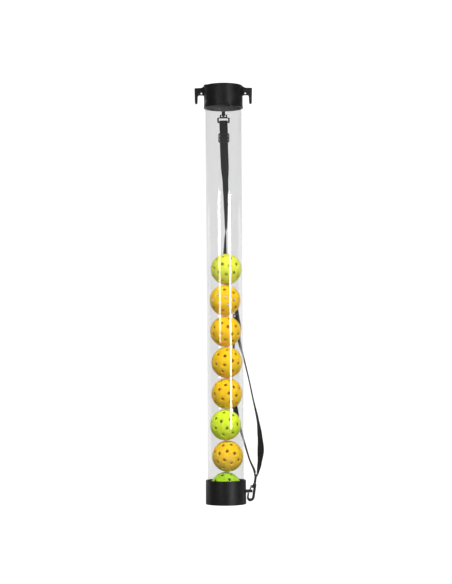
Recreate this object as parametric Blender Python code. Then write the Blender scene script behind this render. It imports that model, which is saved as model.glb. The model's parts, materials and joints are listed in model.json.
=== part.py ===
"""A clear pickup tube for 74 mm balls: a hook cap, a snap-in mouth, a clipped strap and eight balls.

Metres, +Z up. Everything is laid out about the tube's own axis, and the object stands on z = 0.
The front, where the two hangers are seen side by side, faces -Y.
"""

import math

import bmesh
import bpy
from mathutils import Matrix, Vector

# Place of the tube's axis: the strap and the rear clip widen the object's box on one side
AXIS_X = -0.0105
AXIS_Y = -0.0105

# Clearance between pieces that touch
GAP = 0.0003

# Clear tube
TUBE_DIAMETER = 0.0889
TUBE_WALL = 0.0022
TUBE_LENGTH = 0.9755
ROUND_SIDES = 48

# Bottom collar
COLLAR_WALL = 0.00315
COLLAR_HEIGHT = 0.0570
COLLAR_LEAD_IN = 0.0012
MOUTH_CLEARANCE = 0.0030
SHOULDER_HEIGHT = 0.0169
COLLAR_LUG_HEIGHT = 0.0305

# Flexible ring that the balls are pushed through
RING_THICKNESS = 0.0030
RING_RIM_WIDTH = 0.0035
FINGER_GRIP = 0.00225
FINGER_THICKNESS = 0.0013
FINGER_RISE = 0.0052
FINGER_COUNT = 12
FINGER_SLOT = 0.0028

# Top cap and its two hangers
CAP_WALL = 0.00165
CAP_HEIGHT = 0.0538
CAP_ROOF = 0.0030
CAP_EDGE_CHAMFER = 0.0009
BEAD_HEIGHT = 0.0032
BEAD_STANDOFF = 0.0008
HANGER_SPAN = 0.0227
HANGER_THICKNESS = 0.0085
HANGER_ARM_DROP = 0.0053
HANGER_ARM_HEIGHT = 0.0169
HANGER_LEG_WIDTH = 0.0080
HANGER_TIP_WIDTH = 0.0066
HANGER_DROP = 0.0435
HANGER_EYE_DIAMETER = 0.0045
HANGER_EYE_STANDOFF = 0.0062
GUSSET_REACH = 0.0058
CAP_LUG_DROP = 0.0244

# Strap lugs on the cap and the collar
LUG_STANDOFF = 0.0131
LUG_BAR = 0.0040
LUG_THICKNESS = 0.0060
LUG_WIDTH = 0.0180
LUG_EYE_LENGTH = 0.0082
LUG_EYE_WIDTH = 0.0102

# Swivel clips: u runs across the hook, v along it from the barrel to the bow
CLIP_LENGTH = 0.0375
SPINE_PLACE = 0.0012
SPINE_RADIUS = 0.0032
NOSE_RADIUS = 0.0022
CLIP_INNER_WIDTH = 0.0078
BOW_THICKNESS = 0.0072
NOSE_START = 0.0178
BARREL_RADIUS = 0.0044
BARREL_LENGTH = 0.0060
POST_RADIUS = 0.0015
POST_HEAD_RADIUS = 0.0027
POST_HEAD_HEIGHT = 0.0020
CLIP_EAR_WIDTH = 0.0064
GATE_PIVOT_U = -0.0068
GATE_PIVOT_V = 0.0015
GATE_KNUCKLE_RADIUS = 0.0021
GATE_KNUCKLE_WIDTH = 0.0026
GATE_THICKNESS = 0.0026
PIN_RADIUS = 0.0008
COLLAR_CLIP_LEAN = 8.0
COLLAR_BAR_U = -0.0049
COLLAR_BAR_V = 0.0125

# Strap loops of the clips
LOOP_WIDTH = 0.0305
LOOP_HEIGHT = 0.0126
LOOP_RIM = 0.0030
LOOP_SIDE = 0.0040
LOOP_THICKNESS = 0.0050
YOKE_HEIGHT = 0.0090
YOKE_BASE_WIDTH = 0.0184
YOKE_NECK_WIDTH = 0.0090
NECK_HEIGHT = 0.0033
YOKE_WINDOW_WIDTH = 0.0118
YOKE_WINDOW_HEIGHT = 0.0040

# Webbing and its two sliders
WEBBING_WIDTH = 0.0200
WEBBING_THICKNESS = 0.0012
SLIDER_WIDTH = 0.0270
SLIDER_HEIGHT = 0.0220
SLIDER_THICKNESS = 0.0022
SLIDER_BAR = 0.0034
SLIDER_RIM = 0.0036
SLIDER_EDGE = 0.0004
UPPER_SLIDER_DROP = 0.0387

# Balls, lowest first: share of the side play that each one leans by, and the direction in degrees
BALL_DIAMETER = 0.0740
BALL_WALL = 0.0020
BALL_HOLE_DIAMETER = 0.0078
BALL_HOLE_SIDES = 6
BALL_HOLE_ROWS = ((10, 13.0), (7, 42.0), (3, 70.0))
BALL_LEANS = (
    (0.0, 0.0),
    (0.96, 8.0),
    (0.25, -80.0),
    (0.85, 14.0),
    (0.90, -10.0),
    (0.42, 35.0),
    (0.30, -50.0),
    (0.94, 6.0),
)
BALL_TURNS = (206.0, 213.0, 95.0, 211.0, 147.0, 282.0, 20.0, 219.0)

# Route of the strap. Each row has the distance from the tube's wall, the direction from the tube's
# axis in degrees, the place up the tube, and the way that the webbing's width points. The place is
# a height, but in the upper run it is the share of the way up from the lower slider to the upper one
UPPER_RUN = (
    (0.0211, 89.1, 0.9368, 4.0),
    (0.0206, 88.1, 0.8577, 22.0),
    (0.0197, 86.8, 0.7508, 48.0),
    (0.0182, 86.0, 0.6346, 66.0),
    (0.0172, 85.9, 0.5323, 82.0),
    (0.0161, 87.7, 0.4300, 100.0),
    (0.0146, 88.4, 0.3301, 110.0),
    (0.0120, 82.9, 0.2139, 114.0),
    (0.0109, 71.6, 0.1023, 116.0),
)
LOWER_SLIDER_PLACE = (0.0104, 59.9, 0.443, 116.0)
OUTER_RUN = (
    (0.0128, 53.5, 0.392, 100.0),
    (0.0148, 39.9, 0.344, 90.0),
    (0.0199, 26.8, 0.292, 90.0),
    (0.0256, 18.3, 0.247, 90.0),
    (0.0333, 9.6, 0.200, 104.0),
    (0.0376, 4.9, 0.160, 122.0),
    (0.0390, 2.1, 0.127, 126.0),
    (0.0356, 0.4, 0.094, 108.0),
)
INNER_RUN = (
    (0.0143, 66.8, 0.396, 104.0),
    (0.0140, 70.2, 0.345, 94.0),
    (0.0130, 71.5, 0.299, 90.0),
    (0.0119, 70.3, 0.259, 104.0),
    (0.0112, 63.9, 0.221, 124.0),
    (0.0130, 51.6, 0.176, 104.0),
    (0.0122, 38.1, 0.145, 92.0),
    (0.0151, 17.6, 0.104, 90.0),
)

# Values that follow from those above
TUBE_RADIUS = TUBE_DIAMETER / 2
TUBE_BORE = TUBE_RADIUS - TUBE_WALL
SOCKET_RADIUS = (TUBE_RADIUS + GAP) / math.cos(math.pi / ROUND_SIDES)
COLLAR_RADIUS = SOCKET_RADIUS + COLLAR_WALL
CAP_RADIUS = SOCKET_RADIUS + CAP_WALL
HANGER_REACH = CAP_RADIUS + HANGER_SPAN
BALL_RADIUS = BALL_DIAMETER / 2
MOUTH_RADIUS = BALL_RADIUS + MOUTH_CLEARANCE
FINGER_TIP_RADIUS = BALL_RADIUS - FINGER_GRIP
RING_FLOOR = SHOULDER_HEIGHT + GAP
TUBE_FOOT = RING_FLOOR + RING_THICKNESS + GAP
FINGER_TIP_HEIGHT = RING_FLOOR + RING_THICKNESS + FINGER_RISE
CAP_TOP = TUBE_FOOT + TUBE_LENGTH + GAP + CAP_ROOF
CAP_FOOT = CAP_TOP - CAP_HEIGHT
ROOF_UNDERSIDE = CAP_TOP - CAP_ROOF
CAP_BAR_PLACE = Vector((0.0, CAP_RADIUS + LUG_STANDOFF, CAP_TOP - CAP_LUG_DROP))
COLLAR_BAR_PLACE = Vector((COLLAR_RADIUS + LUG_STANDOFF, 0.0, COLLAR_LUG_HEIGHT))
BOW_CENTRE_U = SPINE_PLACE - SPINE_RADIUS - CLIP_INNER_WIDTH / 2
BOW_CENTRE_V = CLIP_LENGTH - BOW_THICKNESS - CLIP_INNER_WIDTH / 2
NOSE_PLACE = SPINE_PLACE - SPINE_RADIUS - CLIP_INNER_WIDTH - NOSE_RADIUS
CAP_BAR_U = BOW_CENTRE_U
CAP_BAR_V = BOW_CENTRE_V
YOKE_FOOT = BARREL_LENGTH + GAP
LOOP_FOOT = YOKE_FOOT + YOKE_HEIGHT
LOOP_TOP = LOOP_FOOT + LOOP_HEIGHT
WEB_BAR_HEIGHT = LOOP_TOP - LOOP_RIM / 2
LOOP_TURN = math.hypot(LOOP_THICKNESS, LOOP_RIM) / 2 + GAP + WEBBING_THICKNESS / 2
SLIDER_TURN = SLIDER_THICKNESS / 2 + GAP + WEBBING_THICKNESS / 2
LAYER_STEP = WEBBING_THICKNESS + 2 * GAP


def clear_scene():
    for obj in list(bpy.data.objects):
        bpy.data.objects.remove(obj, do_unlink=True)


def make_material(name, colour, roughness, metallic=0.0, transmission=0.0):
    material = bpy.data.materials.new(name)
    material.use_nodes = True
    shader = material.node_tree.nodes["Principled BSDF"]
    shader.inputs["Base Color"].default_value = (*colour, 1.0)
    shader.inputs["Roughness"].default_value = roughness
    shader.inputs["Metallic"].default_value = metallic
    shader.inputs["Transmission Weight"].default_value = transmission
    material.diffuse_color = (*colour, 1.0)
    return material


def make_empty(name, matrix, parent=None):
    empty = bpy.data.objects.new(name, None)
    bpy.context.collection.objects.link(empty)
    empty.parent = parent
    empty.matrix_local = matrix
    return empty


def make_object(name, bm, material, parent, smooth_angle=35.0):
    """Turn a bmesh into a named object, with its faces pointing out."""
    bmesh.ops.recalc_face_normals(bm, faces=bm.faces)
    mesh = bpy.data.meshes.new(name)
    bm.to_mesh(mesh)
    bm.free()
    mesh.materials.append(material)
    mesh.shade_smooth()
    mesh.set_sharp_from_angle(angle=math.radians(smooth_angle))
    obj = bpy.data.objects.new(name, mesh)
    bpy.context.collection.objects.link(obj)
    obj.parent = parent
    return obj


def combine(target, bm, operation, name):
    """Join a shape to the target or cut it away, with a Boolean that stays on the object."""
    tool = make_object(f"{target.name}_{name}", bm, target.data.materials[0], target.parent)
    tool.location = target.location
    tool.hide_render = True
    tool.display_type = "WIRE"
    modifier = target.modifiers.new(name, "BOOLEAN")
    modifier.operation = operation
    modifier.solver = "EXACT"
    modifier.object = tool


def add_bevel(obj, width, angle=40.0):
    modifier = obj.modifiers.new("soft_edges", "BEVEL")
    modifier.width = width
    modifier.segments = 1
    modifier.limit_method = "ANGLE"
    modifier.angle_limit = math.radians(angle)


def turned(profile, sides=ROUND_SIDES, closed=True):
    """Turn a profile of (radius, height) points about Z; a profile that isn't closed gets end caps."""
    bm = bmesh.new()
    rings = []
    for radius, height in profile:
        ring = []
        for k in range(sides):
            angle = math.tau * k / sides
            ring.append(bm.verts.new((radius * math.cos(angle), radius * math.sin(angle), height)))
        rings.append(ring)
    count = len(rings)
    for i in range(count if closed else count - 1):
        near, far = rings[i], rings[(i + 1) % count]
        for k in range(sides):
            after = (k + 1) % sides
            bm.faces.new((near[k], near[after], far[after], far[k]))
    if not closed:
        bm.faces.new(rings[0])
        bm.faces.new(rings[-1])
    return bm


def extruded(outline, half_depth, to_point):
    """Extrude a flat outline both ways; to_point turns (a, b, depth) into a point."""
    bm = bmesh.new()
    near = [bm.verts.new(to_point(a, b, -half_depth)) for a, b in outline]
    far = [bm.verts.new(to_point(a, b, half_depth)) for a, b in outline]
    bm.faces.new(near)
    bm.faces.new(far)
    for k in range(len(outline)):
        after = (k + 1) % len(outline)
        bm.faces.new((near[k], near[after], far[after], far[k]))
    return bm


def block(low, high):
    """A box between two corners."""
    outline = [(low[0], low[1]), (high[0], low[1]), (high[0], high[1]), (low[0], high[1])]
    half = (high[2] - low[2]) / 2
    middle = (high[2] + low[2]) / 2
    return extruded(outline, half, lambda a, b, d: (a, b, middle + d))


def arc(centre, radius, start, end, steps):
    """Points on an arc, with angles in degrees."""
    points = []
    for k in range(steps + 1):
        angle = math.radians(start + (end - start) * k / steps)
        points.append((centre[0] + radius * math.cos(angle), centre[1] + radius * math.sin(angle)))
    return points


def swept(points, radii, sides=8):
    """A round bar through points that lie in the XZ plane, with its own radius at each."""
    bm = bmesh.new()
    rings = []
    for i, (point, radius) in enumerate(zip(points, radii)):
        ahead = points[min(i + 1, len(points) - 1)]
        behind = points[max(i - 1, 0)]
        along = (Vector(ahead) - Vector(behind)).normalized()
        across = Vector((along.z, 0.0, -along.x))
        ring = []
        for k in range(sides):
            angle = math.tau * (k + 0.5) / sides
            offset = across * math.cos(angle) + Vector((0.0, math.sin(angle), 0.0))
            ring.append(bm.verts.new(Vector(point) + offset * radius))
        rings.append(ring)
    for near, far in zip(rings, rings[1:]):
        for k in range(sides):
            after = (k + 1) % sides
            bm.faces.new((near[k], near[after], far[after], far[k]))
    bm.faces.new(rings[0])
    bm.faces.new(rings[-1])
    return bm


# Tube, collar and ring

def build_tube(parent, material):
    top = TUBE_FOOT + TUBE_LENGTH
    profile = [(TUBE_RADIUS, TUBE_FOOT), (TUBE_RADIUS, top), (TUBE_BORE, top), (TUBE_BORE, TUBE_FOOT)]
    make_object("tube", turned(profile), material, parent)


def lug_outline(reach):
    """A tab that grows out of the wall along +X and ends in a rounded bar."""
    half = LUG_WIDTH / 2
    root = reach - LUG_STANDOFF - LUG_BAR / 2 - 0.0012
    corner = LUG_BAR
    outline = [(root, -half - GUSSET_REACH / 2), (root + GUSSET_REACH, -half)]
    outline += arc((reach - corner, -half + corner), corner, -90.0, 0.0, 3)
    outline += arc((reach - corner, half - corner), corner, 0.0, 90.0, 3)
    outline += [(root + GUSSET_REACH, half), (root, half + GUSSET_REACH / 2)]
    return outline


def add_lug(target, wall_radius, height, turn):
    """Fuse a strap lug to a collar and cut its eye; turn is its direction in degrees from +X."""
    spin = Matrix.Rotation(math.radians(turn), 3, "Z")
    bar_centre = wall_radius + LUG_STANDOFF

    def place(a, b, depth):
        return spin @ Vector((a, b, height + depth))

    tab = extruded(lug_outline(bar_centre + LUG_BAR / 2), LUG_THICKNESS / 2, place)
    bmesh.ops.recalc_face_normals(tab, faces=tab.faces)
    outer = bar_centre + LUG_BAR / 2 - LUG_BAR
    rim = [
        edge
        for edge in tab.edges
        if all(
            (spin.inverted() @ v.co).x > wall_radius + GUSSET_REACH for v in edge.verts
        )
        and abs(edge.verts[0].co.z - edge.verts[1].co.z) < GAP
    ]
    bmesh.ops.bevel(tab, geom=rim, offset=LUG_BAR / 3.2, segments=2, profile=0.5, affect="EDGES")
    combine(target, tab, "UNION", "lug")
    corner = LUG_EYE_LENGTH / 3
    inner = outer - LUG_EYE_LENGTH
    half = LUG_EYE_WIDTH / 2
    eye = arc((outer - corner, half - corner), corner, 0.0, 90.0, 3)
    eye += arc((inner + corner, half - corner), corner, 90.0, 180.0, 3)
    eye += arc((inner + corner, -half + corner), corner, 180.0, 270.0, 3)
    eye += arc((outer - corner, -half + corner), corner, 270.0, 360.0, 3)
    combine(target, extruded(eye, LUG_THICKNESS, place), "DIFFERENCE", "eye")


def build_collar(parent, material):
    mouth = MOUTH_RADIUS
    lead = COLLAR_LEAD_IN
    profile = [
        (COLLAR_RADIUS - lead, 0.0),
        (COLLAR_RADIUS, lead),
        (COLLAR_RADIUS, COLLAR_HEIGHT - lead / 2),
        (COLLAR_RADIUS - lead / 2, COLLAR_HEIGHT),
        (SOCKET_RADIUS, COLLAR_HEIGHT),
        (SOCKET_RADIUS, SHOULDER_HEIGHT),
        (mouth, SHOULDER_HEIGHT),
        (mouth, 2 * lead),
        (mouth + 2 * lead, 0.0),
    ]
    collar = make_object("bottom_collar", turned(profile), material, parent)
    add_lug(collar, COLLAR_RADIUS, COLLAR_LUG_HEIGHT, 0.0)


def build_ring(parent, material):
    """A rim clamped under the tube, with fingers that slope up to a mouth a little under a ball."""
    outer = TUBE_RADIUS - GAP
    inner = outer - RING_RIM_WIDTH
    tip = FINGER_TIP_RADIUS
    base = RING_FLOOR
    top = base + RING_THICKNESS
    profile = [
        (outer, base),
        (outer, top),
        (inner, top),
        (tip, FINGER_TIP_HEIGHT),
        (tip, FINGER_TIP_HEIGHT - FINGER_THICKNESS),
        (inner - FINGER_THICKNESS, base),
    ]
    ring = make_object("retaining_ring", turned(profile), material, parent)
    slots = bmesh.new()
    for k in range(FINGER_COUNT):
        slot = block(
            (tip - FINGER_SLOT, -FINGER_SLOT / 2, base - FINGER_SLOT),
            (inner - FINGER_THICKNESS, FINGER_SLOT / 2, top + 2 * FINGER_RISE),
        )
        angle = math.tau * (k + 0.5) / FINGER_COUNT
        slot.transform(Matrix.Rotation(angle, 4, "Z"))
        piece = bpy.data.meshes.new("slot")
        slot.to_mesh(piece)
        slot.free()
        slots.from_mesh(piece)
        bpy.data.meshes.remove(piece)
    combine(ring, slots, "DIFFERENCE", "slots")


# Cap

def hanger_outline():
    """Arm, drop leg and gusset in the XZ plane, for the hanger on the +X side."""
    root = CAP_RADIUS - 0.0012
    arm_top = CAP_TOP - HANGER_ARM_DROP
    arm_foot = arm_top - HANGER_ARM_HEIGHT
    leg_inner = HANGER_REACH - HANGER_LEG_WIDTH
    tip_centre = CAP_TOP - HANGER_DROP + HANGER_TIP_WIDTH / 2
    corner = HANGER_LEG_WIDTH / 5
    fillet = HANGER_LEG_WIDTH / 4
    tip_middle = HANGER_REACH - HANGER_LEG_WIDTH / 2
    outline = [(root, CAP_TOP - CAP_EDGE_CHAMFER), (CAP_RADIUS, CAP_TOP - CAP_EDGE_CHAMFER)]
    outline += [(CAP_RADIUS + GUSSET_REACH, arm_top)]
    outline += arc((HANGER_REACH - corner, arm_top - corner), corner, 90.0, 0.0, 2)
    outline += arc((tip_middle, tip_centre), HANGER_TIP_WIDTH / 2, 0.0, -180.0, 4)
    outline += arc((leg_inner - fillet, arm_foot - fillet), fillet, 0.0, 90.0, 2)
    outline += [(CAP_RADIUS + fillet, arm_foot), (CAP_RADIUS, arm_foot - fillet)]
    outline += [(root, arm_foot - fillet)]
    return outline


def build_cap(parent, material):
    chamfer = CAP_EDGE_CHAMFER
    bead = CAP_RADIUS + BEAD_STANDOFF
    outer_profile = [
        (CAP_RADIUS - chamfer, CAP_TOP),
        (CAP_RADIUS, CAP_TOP - chamfer),
        (CAP_RADIUS, CAP_FOOT + BEAD_HEIGHT + BEAD_STANDOFF),
        (bead, CAP_FOOT + BEAD_HEIGHT),
        (bead, CAP_FOOT),
        (SOCKET_RADIUS, CAP_FOOT),
        (SOCKET_RADIUS, ROOF_UNDERSIDE),
    ]
    cap = make_object("top_cap", turned(outer_profile, closed=False), material, parent)
    for side in (1.0, -1.0):
        name = "hanger_right" if side > 0 else "hanger_left"

        def place(a, b, depth, side=side):
            return (side * a, depth, b)

        arm = extruded(hanger_outline(), HANGER_THICKNESS / 2, place)
        combine(cap, arm, "UNION", name)
        eye_height = CAP_TOP - HANGER_ARM_DROP - HANGER_ARM_HEIGHT * 0.75
        eye = arc(
            (CAP_RADIUS + HANGER_EYE_STANDOFF, eye_height), HANGER_EYE_DIAMETER / 2, 0.0, 324.0, 9
        )
        combine(cap, extruded(eye, HANGER_THICKNESS, place), "DIFFERENCE", f"{name}_eye")
    add_lug(cap, CAP_RADIUS, CAP_BAR_PLACE.z, 90.0)


# Swivel clips, in a frame whose origin is where the barrel meets the hook: x is u and z is -v

def clip_point(u, v):
    return (u, 0.0, -v)


def clip_centreline():
    """Spine, bow and nose as one bar, with a radius at each point."""
    points = [(SPINE_PLACE, -BARREL_LENGTH * 0.2), (SPINE_PLACE, BOW_CENTRE_V * 0.5)]
    radii = [SPINE_RADIUS, SPINE_RADIUS]
    spine_reach = SPINE_PLACE - BOW_CENTRE_U
    nose_reach = BOW_CENTRE_U - NOSE_PLACE
    steps = 8
    for k in range(steps + 1):
        share = k / steps
        angle = math.pi * share
        bow_reach = CLIP_INNER_WIDTH / 2 + BOW_THICKNESS / 2
        side_reach = spine_reach + (nose_reach - spine_reach) * share
        points.append(
            (
                BOW_CENTRE_U + side_reach * math.cos(angle),
                BOW_CENTRE_V + bow_reach * math.sin(angle),
            )
        )
        radii.append(SPINE_RADIUS + (NOSE_RADIUS - SPINE_RADIUS) * share)
    bow = BOW_THICKNESS / 2
    for k in range(steps + 1):
        share = math.sin(math.pi * k / steps) ** 2
        radii[2 + k] += (bow - radii[2 + k]) * share
    points.append((NOSE_PLACE, NOSE_START))
    radii.append(NOSE_RADIUS)
    return [Vector(clip_point(u, v)) for u, v in points], radii


def ear_outline():
    """The clip's shoulder, which reaches from the barrel to the gate's pivot."""
    ear = GATE_KNUCKLE_RADIUS + 2 * GAP
    outline = [(BARREL_RADIUS, 0.0015), (BARREL_RADIUS, -0.0040)]
    outline += [(SPINE_PLACE, -0.0062)]
    outline += arc((GATE_PIVOT_U, -GATE_PIVOT_V), ear, 285.0, 110.0, 6)
    outline += [(-BARREL_RADIUS, 0.0015)]
    return outline


def build_clip_body(name, parent, offset, material):
    points, radii = clip_centreline()
    body = make_object(name, swept(points, radii), material, parent)
    body.location = offset
    barrel = [
        (BARREL_RADIUS * 0.86, -0.0010),
        (BARREL_RADIUS, 0.0),
        (BARREL_RADIUS, BARREL_LENGTH - 0.0008),
        (BARREL_RADIUS * 0.86, BARREL_LENGTH),
        (POST_RADIUS, BARREL_LENGTH),
        (POST_RADIUS, YOKE_FOOT + NECK_HEIGHT + GAP),
        (POST_HEAD_RADIUS, YOKE_FOOT + NECK_HEIGHT + GAP),
        (POST_HEAD_RADIUS, YOKE_FOOT + NECK_HEIGHT + GAP + POST_HEAD_HEIGHT),
    ]

    def upright(a, b, depth):
        return (a, depth, b)

    combine(body, extruded(ear_outline(), CLIP_EAR_WIDTH / 2, upright), "UNION", "shoulder")
    combine(body, turned(barrel, sides=16, closed=False), "UNION", "barrel")
    slot_half = GATE_KNUCKLE_WIDTH / 2 + GAP
    slot_reach = GATE_KNUCKLE_RADIUS + GAP
    slot = block(
        (GATE_PIVOT_U - 2 * slot_reach, -slot_half, -0.0100),
        (GATE_PIVOT_U + slot_reach, slot_half, -GATE_PIVOT_V + slot_reach),
    )
    combine(body, slot, "DIFFERENCE", "gate_slot")
    hole = arc((GATE_PIVOT_U, -GATE_PIVOT_V), PIN_RADIUS + GAP, 0.0, 315.0, 7)
    combine(body, extruded(hole, CLIP_EAR_WIDTH, upright), "DIFFERENCE", "pin_hole")


def build_pin(name, parent, offset, material):
    def upright(a, b, depth):
        return (a, depth, b)

    outline = arc((GATE_PIVOT_U, -GATE_PIVOT_V), PIN_RADIUS, 0.0, 315.0, 7)
    pin = make_object(name, extruded(outline, CLIP_EAR_WIDTH / 2, upright), material, parent)
    pin.location = offset


def build_gate(name, parent, material):
    """A sprung tongue from its knuckle to the nose, in a frame with its origin on the pivot."""
    def upright(a, b, depth):
        return (a, depth, b)

    end = Vector((NOSE_PLACE + GAP - GATE_PIVOT_U, GATE_PIVOT_V - NOSE_START + 3 * GAP))
    along = end.normalized()
    across = Vector((-along.y, along.x)) * GATE_THICKNESS / 2
    lean = math.degrees(math.atan2(along.y, along.x))
    outline = [tuple(end + across), tuple(along * GATE_KNUCKLE_RADIUS + across)]
    outline += arc((0.0, 0.0), GATE_KNUCKLE_RADIUS, lean + 50.0, lean + 310.0, 8)
    outline += [tuple(along * GATE_KNUCKLE_RADIUS - across), tuple(end - across)]
    gate = make_object(name, extruded(outline, GATE_KNUCKLE_WIDTH / 2, upright), material, parent)
    hole = arc((0.0, 0.0), PIN_RADIUS + GAP, 0.0, 315.0, 7)
    combine(gate, extruded(hole, CLIP_EAR_WIDTH, upright), "DIFFERENCE", "pin_hole")


def build_loop(name, parent, offset, material):
    """Yoke and webbing loop, flat in the YZ plane, turning on the barrel's post."""
    def flat(a, b, depth):
        return (depth, a, b)

    neck = YOKE_NECK_WIDTH / 2
    base = YOKE_BASE_WIDTH / 2
    half = LOOP_WIDTH / 2
    corner = LOOP_RIM / 2
    neck_top = YOKE_FOOT + NECK_HEIGHT
    outline = [(-neck, YOKE_FOOT), (neck, YOKE_FOOT), (neck, YOKE_FOOT + NECK_HEIGHT / 2)]
    outline += [(base, LOOP_FOOT - YOKE_HEIGHT * 0.45), (base, LOOP_FOOT)]
    outline += arc((half - corner, LOOP_FOOT + corner), corner, -90.0, 0.0, 2)
    outline += arc((half - corner, LOOP_TOP - corner), corner, 0.0, 90.0, 2)
    outline += arc((-half + corner, LOOP_TOP - corner), corner, 90.0, 180.0, 2)
    outline += arc((-half + corner, LOOP_FOOT + corner), corner, 180.0, 270.0, 2)
    outline += [(-base, LOOP_FOOT), (-base, LOOP_FOOT - YOKE_HEIGHT * 0.45)]
    outline += [(-neck, YOKE_FOOT + NECK_HEIGHT / 2)]
    loop = make_object(name, extruded(outline, LOOP_THICKNESS / 2, flat), material, parent)
    loop.location = offset
    add_bevel(loop, 0.0008)
    web_low = LOOP_FOOT + LOOP_RIM / 2
    web_high = LOOP_TOP - LOOP_RIM
    web_half = half - LOOP_SIDE
    depth = LOOP_THICKNESS
    combine(loop, block((-depth, -web_half, web_low), (depth, web_half, web_high)), "DIFFERENCE", "web_slot")
    window = YOKE_WINDOW_WIDTH / 2
    combine(
        loop,
        block((-depth, -window, neck_top), (depth, window, neck_top + YOKE_WINDOW_HEIGHT)),
        "DIFFERENCE",
        "window",
    )
    bore = POST_RADIUS + GAP
    post_hole = turned([(bore, YOKE_FOOT - depth), (bore, neck_top + GAP)], sides=12, closed=False)
    combine(loop, post_hole, "DIFFERENCE", "post_hole")


def build_clip(prefix, frame, bar_u, bar_v, materials):
    """One clip, with its hook, gate, pin and loop; frame's origin is the lug's bar."""
    offset = Vector((-bar_u, 0.0, bar_v))
    build_clip_body(f"{prefix}_clip_hook", frame, offset, materials["clip"])
    build_pin(f"{prefix}_clip_pin", frame, offset, materials["steel"])
    pivot = offset + Vector((GATE_PIVOT_U, 0.0, -GATE_PIVOT_V))
    gate_frame = make_empty(f"{prefix}_gate_pivot", Matrix.Translation(pivot), frame)
    build_gate(f"{prefix}_clip_gate", gate_frame, materials["clip"])
    build_loop(f"{prefix}_strap_loop", frame, offset, materials["clip"])


def cap_clip_frame():
    """The clip hangs with its bow up: u points out from the tube and the loop points down."""
    turn = Matrix(((0.0, 1.0, 0.0), (1.0, 0.0, 0.0), (0.0, 0.0, -1.0))).to_4x4()
    return Matrix.Translation(CAP_BAR_PLACE) @ turn


def collar_clip_frame():
    lean = Matrix.Rotation(math.radians(COLLAR_CLIP_LEAN), 4, "Y")
    return Matrix.Translation(COLLAR_BAR_PLACE) @ lean


# Sliders and webbing

def build_slider(name, parent, material):
    """A three-bar slider: x across the webbing, z along it, y through it."""
    def upright(a, b, depth):
        return (a, depth, b)

    half = SLIDER_WIDTH / 2
    tall = SLIDER_HEIGHT / 2
    corner = SLIDER_RIM / 2
    outline = arc((half - corner, -tall + corner), corner, -90.0, 0.0, 2)
    outline += arc((half - corner, tall - corner), corner, 0.0, 90.0, 2)
    outline += arc((-half + corner, tall - corner), corner, 90.0, 180.0, 2)
    outline += arc((-half + corner, -tall + corner), corner, 180.0, 270.0, 2)
    slider = make_object(name, extruded(outline, SLIDER_THICKNESS / 2, upright), material, parent)
    slot_half = half - SLIDER_RIM * 0.8
    for side in (1.0, -1.0):
        near = side * SLIDER_BAR / 2
        far = side * (tall - SLIDER_RIM)
        slot = block(
            (-slot_half, -SLIDER_THICKNESS, min(near, far)),
            (slot_half, SLIDER_THICKNESS, max(near, far)),
        )
        combine(slider, slot, "DIFFERENCE", "upper_slot" if side > 0 else "lower_slot")
    add_bevel(slider, SLIDER_EDGE)


def beside_tube(standoff, degrees, height):
    """A point at a distance from the tube's wall, in a direction from its axis."""
    reach = TUBE_RADIUS + standoff
    angle = math.radians(degrees)
    return Vector((reach * math.cos(angle), reach * math.sin(angle), height))


def upper_run():
    """Points and widths of the webbing between the sliders, from the top down."""
    low = LOWER_SLIDER_PLACE[2]
    span = upper_slider_frame().translation.z - low
    return [
        (beside_tube(standoff, degrees, low + span * share), width_vector(width))
        for standoff, degrees, share, width in UPPER_RUN
    ]


def width_vector(degrees):
    return Vector((math.cos(math.radians(degrees)), math.sin(math.radians(degrees)), 0.0))


def smooth_route(stations, step=0.011):
    """Points about one step apart on a smooth curve through (point, width) stations.

    This is a centripetal Catmull-Rom curve, which doesn't overshoot where the spacing changes.
    """
    first, last = stations[0], stations[-1]
    padded = [(first[0] * 2 - stations[1][0], first[1]), *stations]
    padded.append((last[0] * 2 - stations[-2][0], last[1]))
    result = []
    for (p0, _), (p1, w1), (p2, w2), (p3, _) in zip(padded, padded[1:], padded[2:], padded[3:]):
        k1 = math.sqrt((p1 - p0).length)
        k2 = k1 + math.sqrt((p2 - p1).length)
        k3 = k2 + math.sqrt((p3 - p2).length)
        count = max(1, round((p2 - p1).length / step))
        for i in range(count):
            share = i / count
            t = k1 + (k2 - k1) * share
            a = p0.lerp(p1, t / k1)
            b = p1.lerp(p2, share)
            c = p2.lerp(p3, (t - k2) / (k3 - k2))
            d = a.lerp(b, t / k2)
            e = b.lerp(c, (t - k1) / (k3 - k1))
            result.append((d.lerp(e, share), w1.lerp(w2, share * share * (3 - 2 * share))))
    result.append(last)
    return result


def bar_wrap(frame, turn, straight, start, end, steps):
    """Stations round a bar that lies along the frame's x; angles run in its YZ plane, 0 at +Y."""
    stations = []
    width = frame.to_3x3() @ Vector((1.0, 0.0, 0.0))
    for k in range(steps + 1):
        angle = math.radians(start + (end - start) * k / steps)
        rise = math.sin(angle)
        shift = math.copysign(straight, rise) if abs(rise) > 0.01 else 0.0
        point = frame @ Vector((0.0, turn * math.cos(angle), turn * rise + shift))
        stations.append((point, width))
    return stations


def loop_bar_frame(clip_frame, bar_u, bar_v):
    """Frame of the webbing bar: x along the bar, y through the loop, z away from the clip."""
    place = clip_frame @ Matrix.Translation((-bar_u, 0.0, bar_v + WEB_BAR_HEIGHT))
    turn = Matrix(((0.0, 1.0, 0.0), (1.0, 0.0, 0.0), (0.0, 0.0, 1.0))).to_4x4()
    return place @ turn


def upper_slider_frame():
    """The slider lies just in front of the webbing that hangs from the cap's clip."""
    bar = loop_bar_frame(cap_clip_frame(), CAP_BAR_U, CAP_BAR_V) @ Vector()
    place = Vector((bar.x + 0.0007, bar.y - LAYER_STEP * 1.2, bar.z - UPPER_SLIDER_DROP))
    return Matrix.Translation(place)


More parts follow.
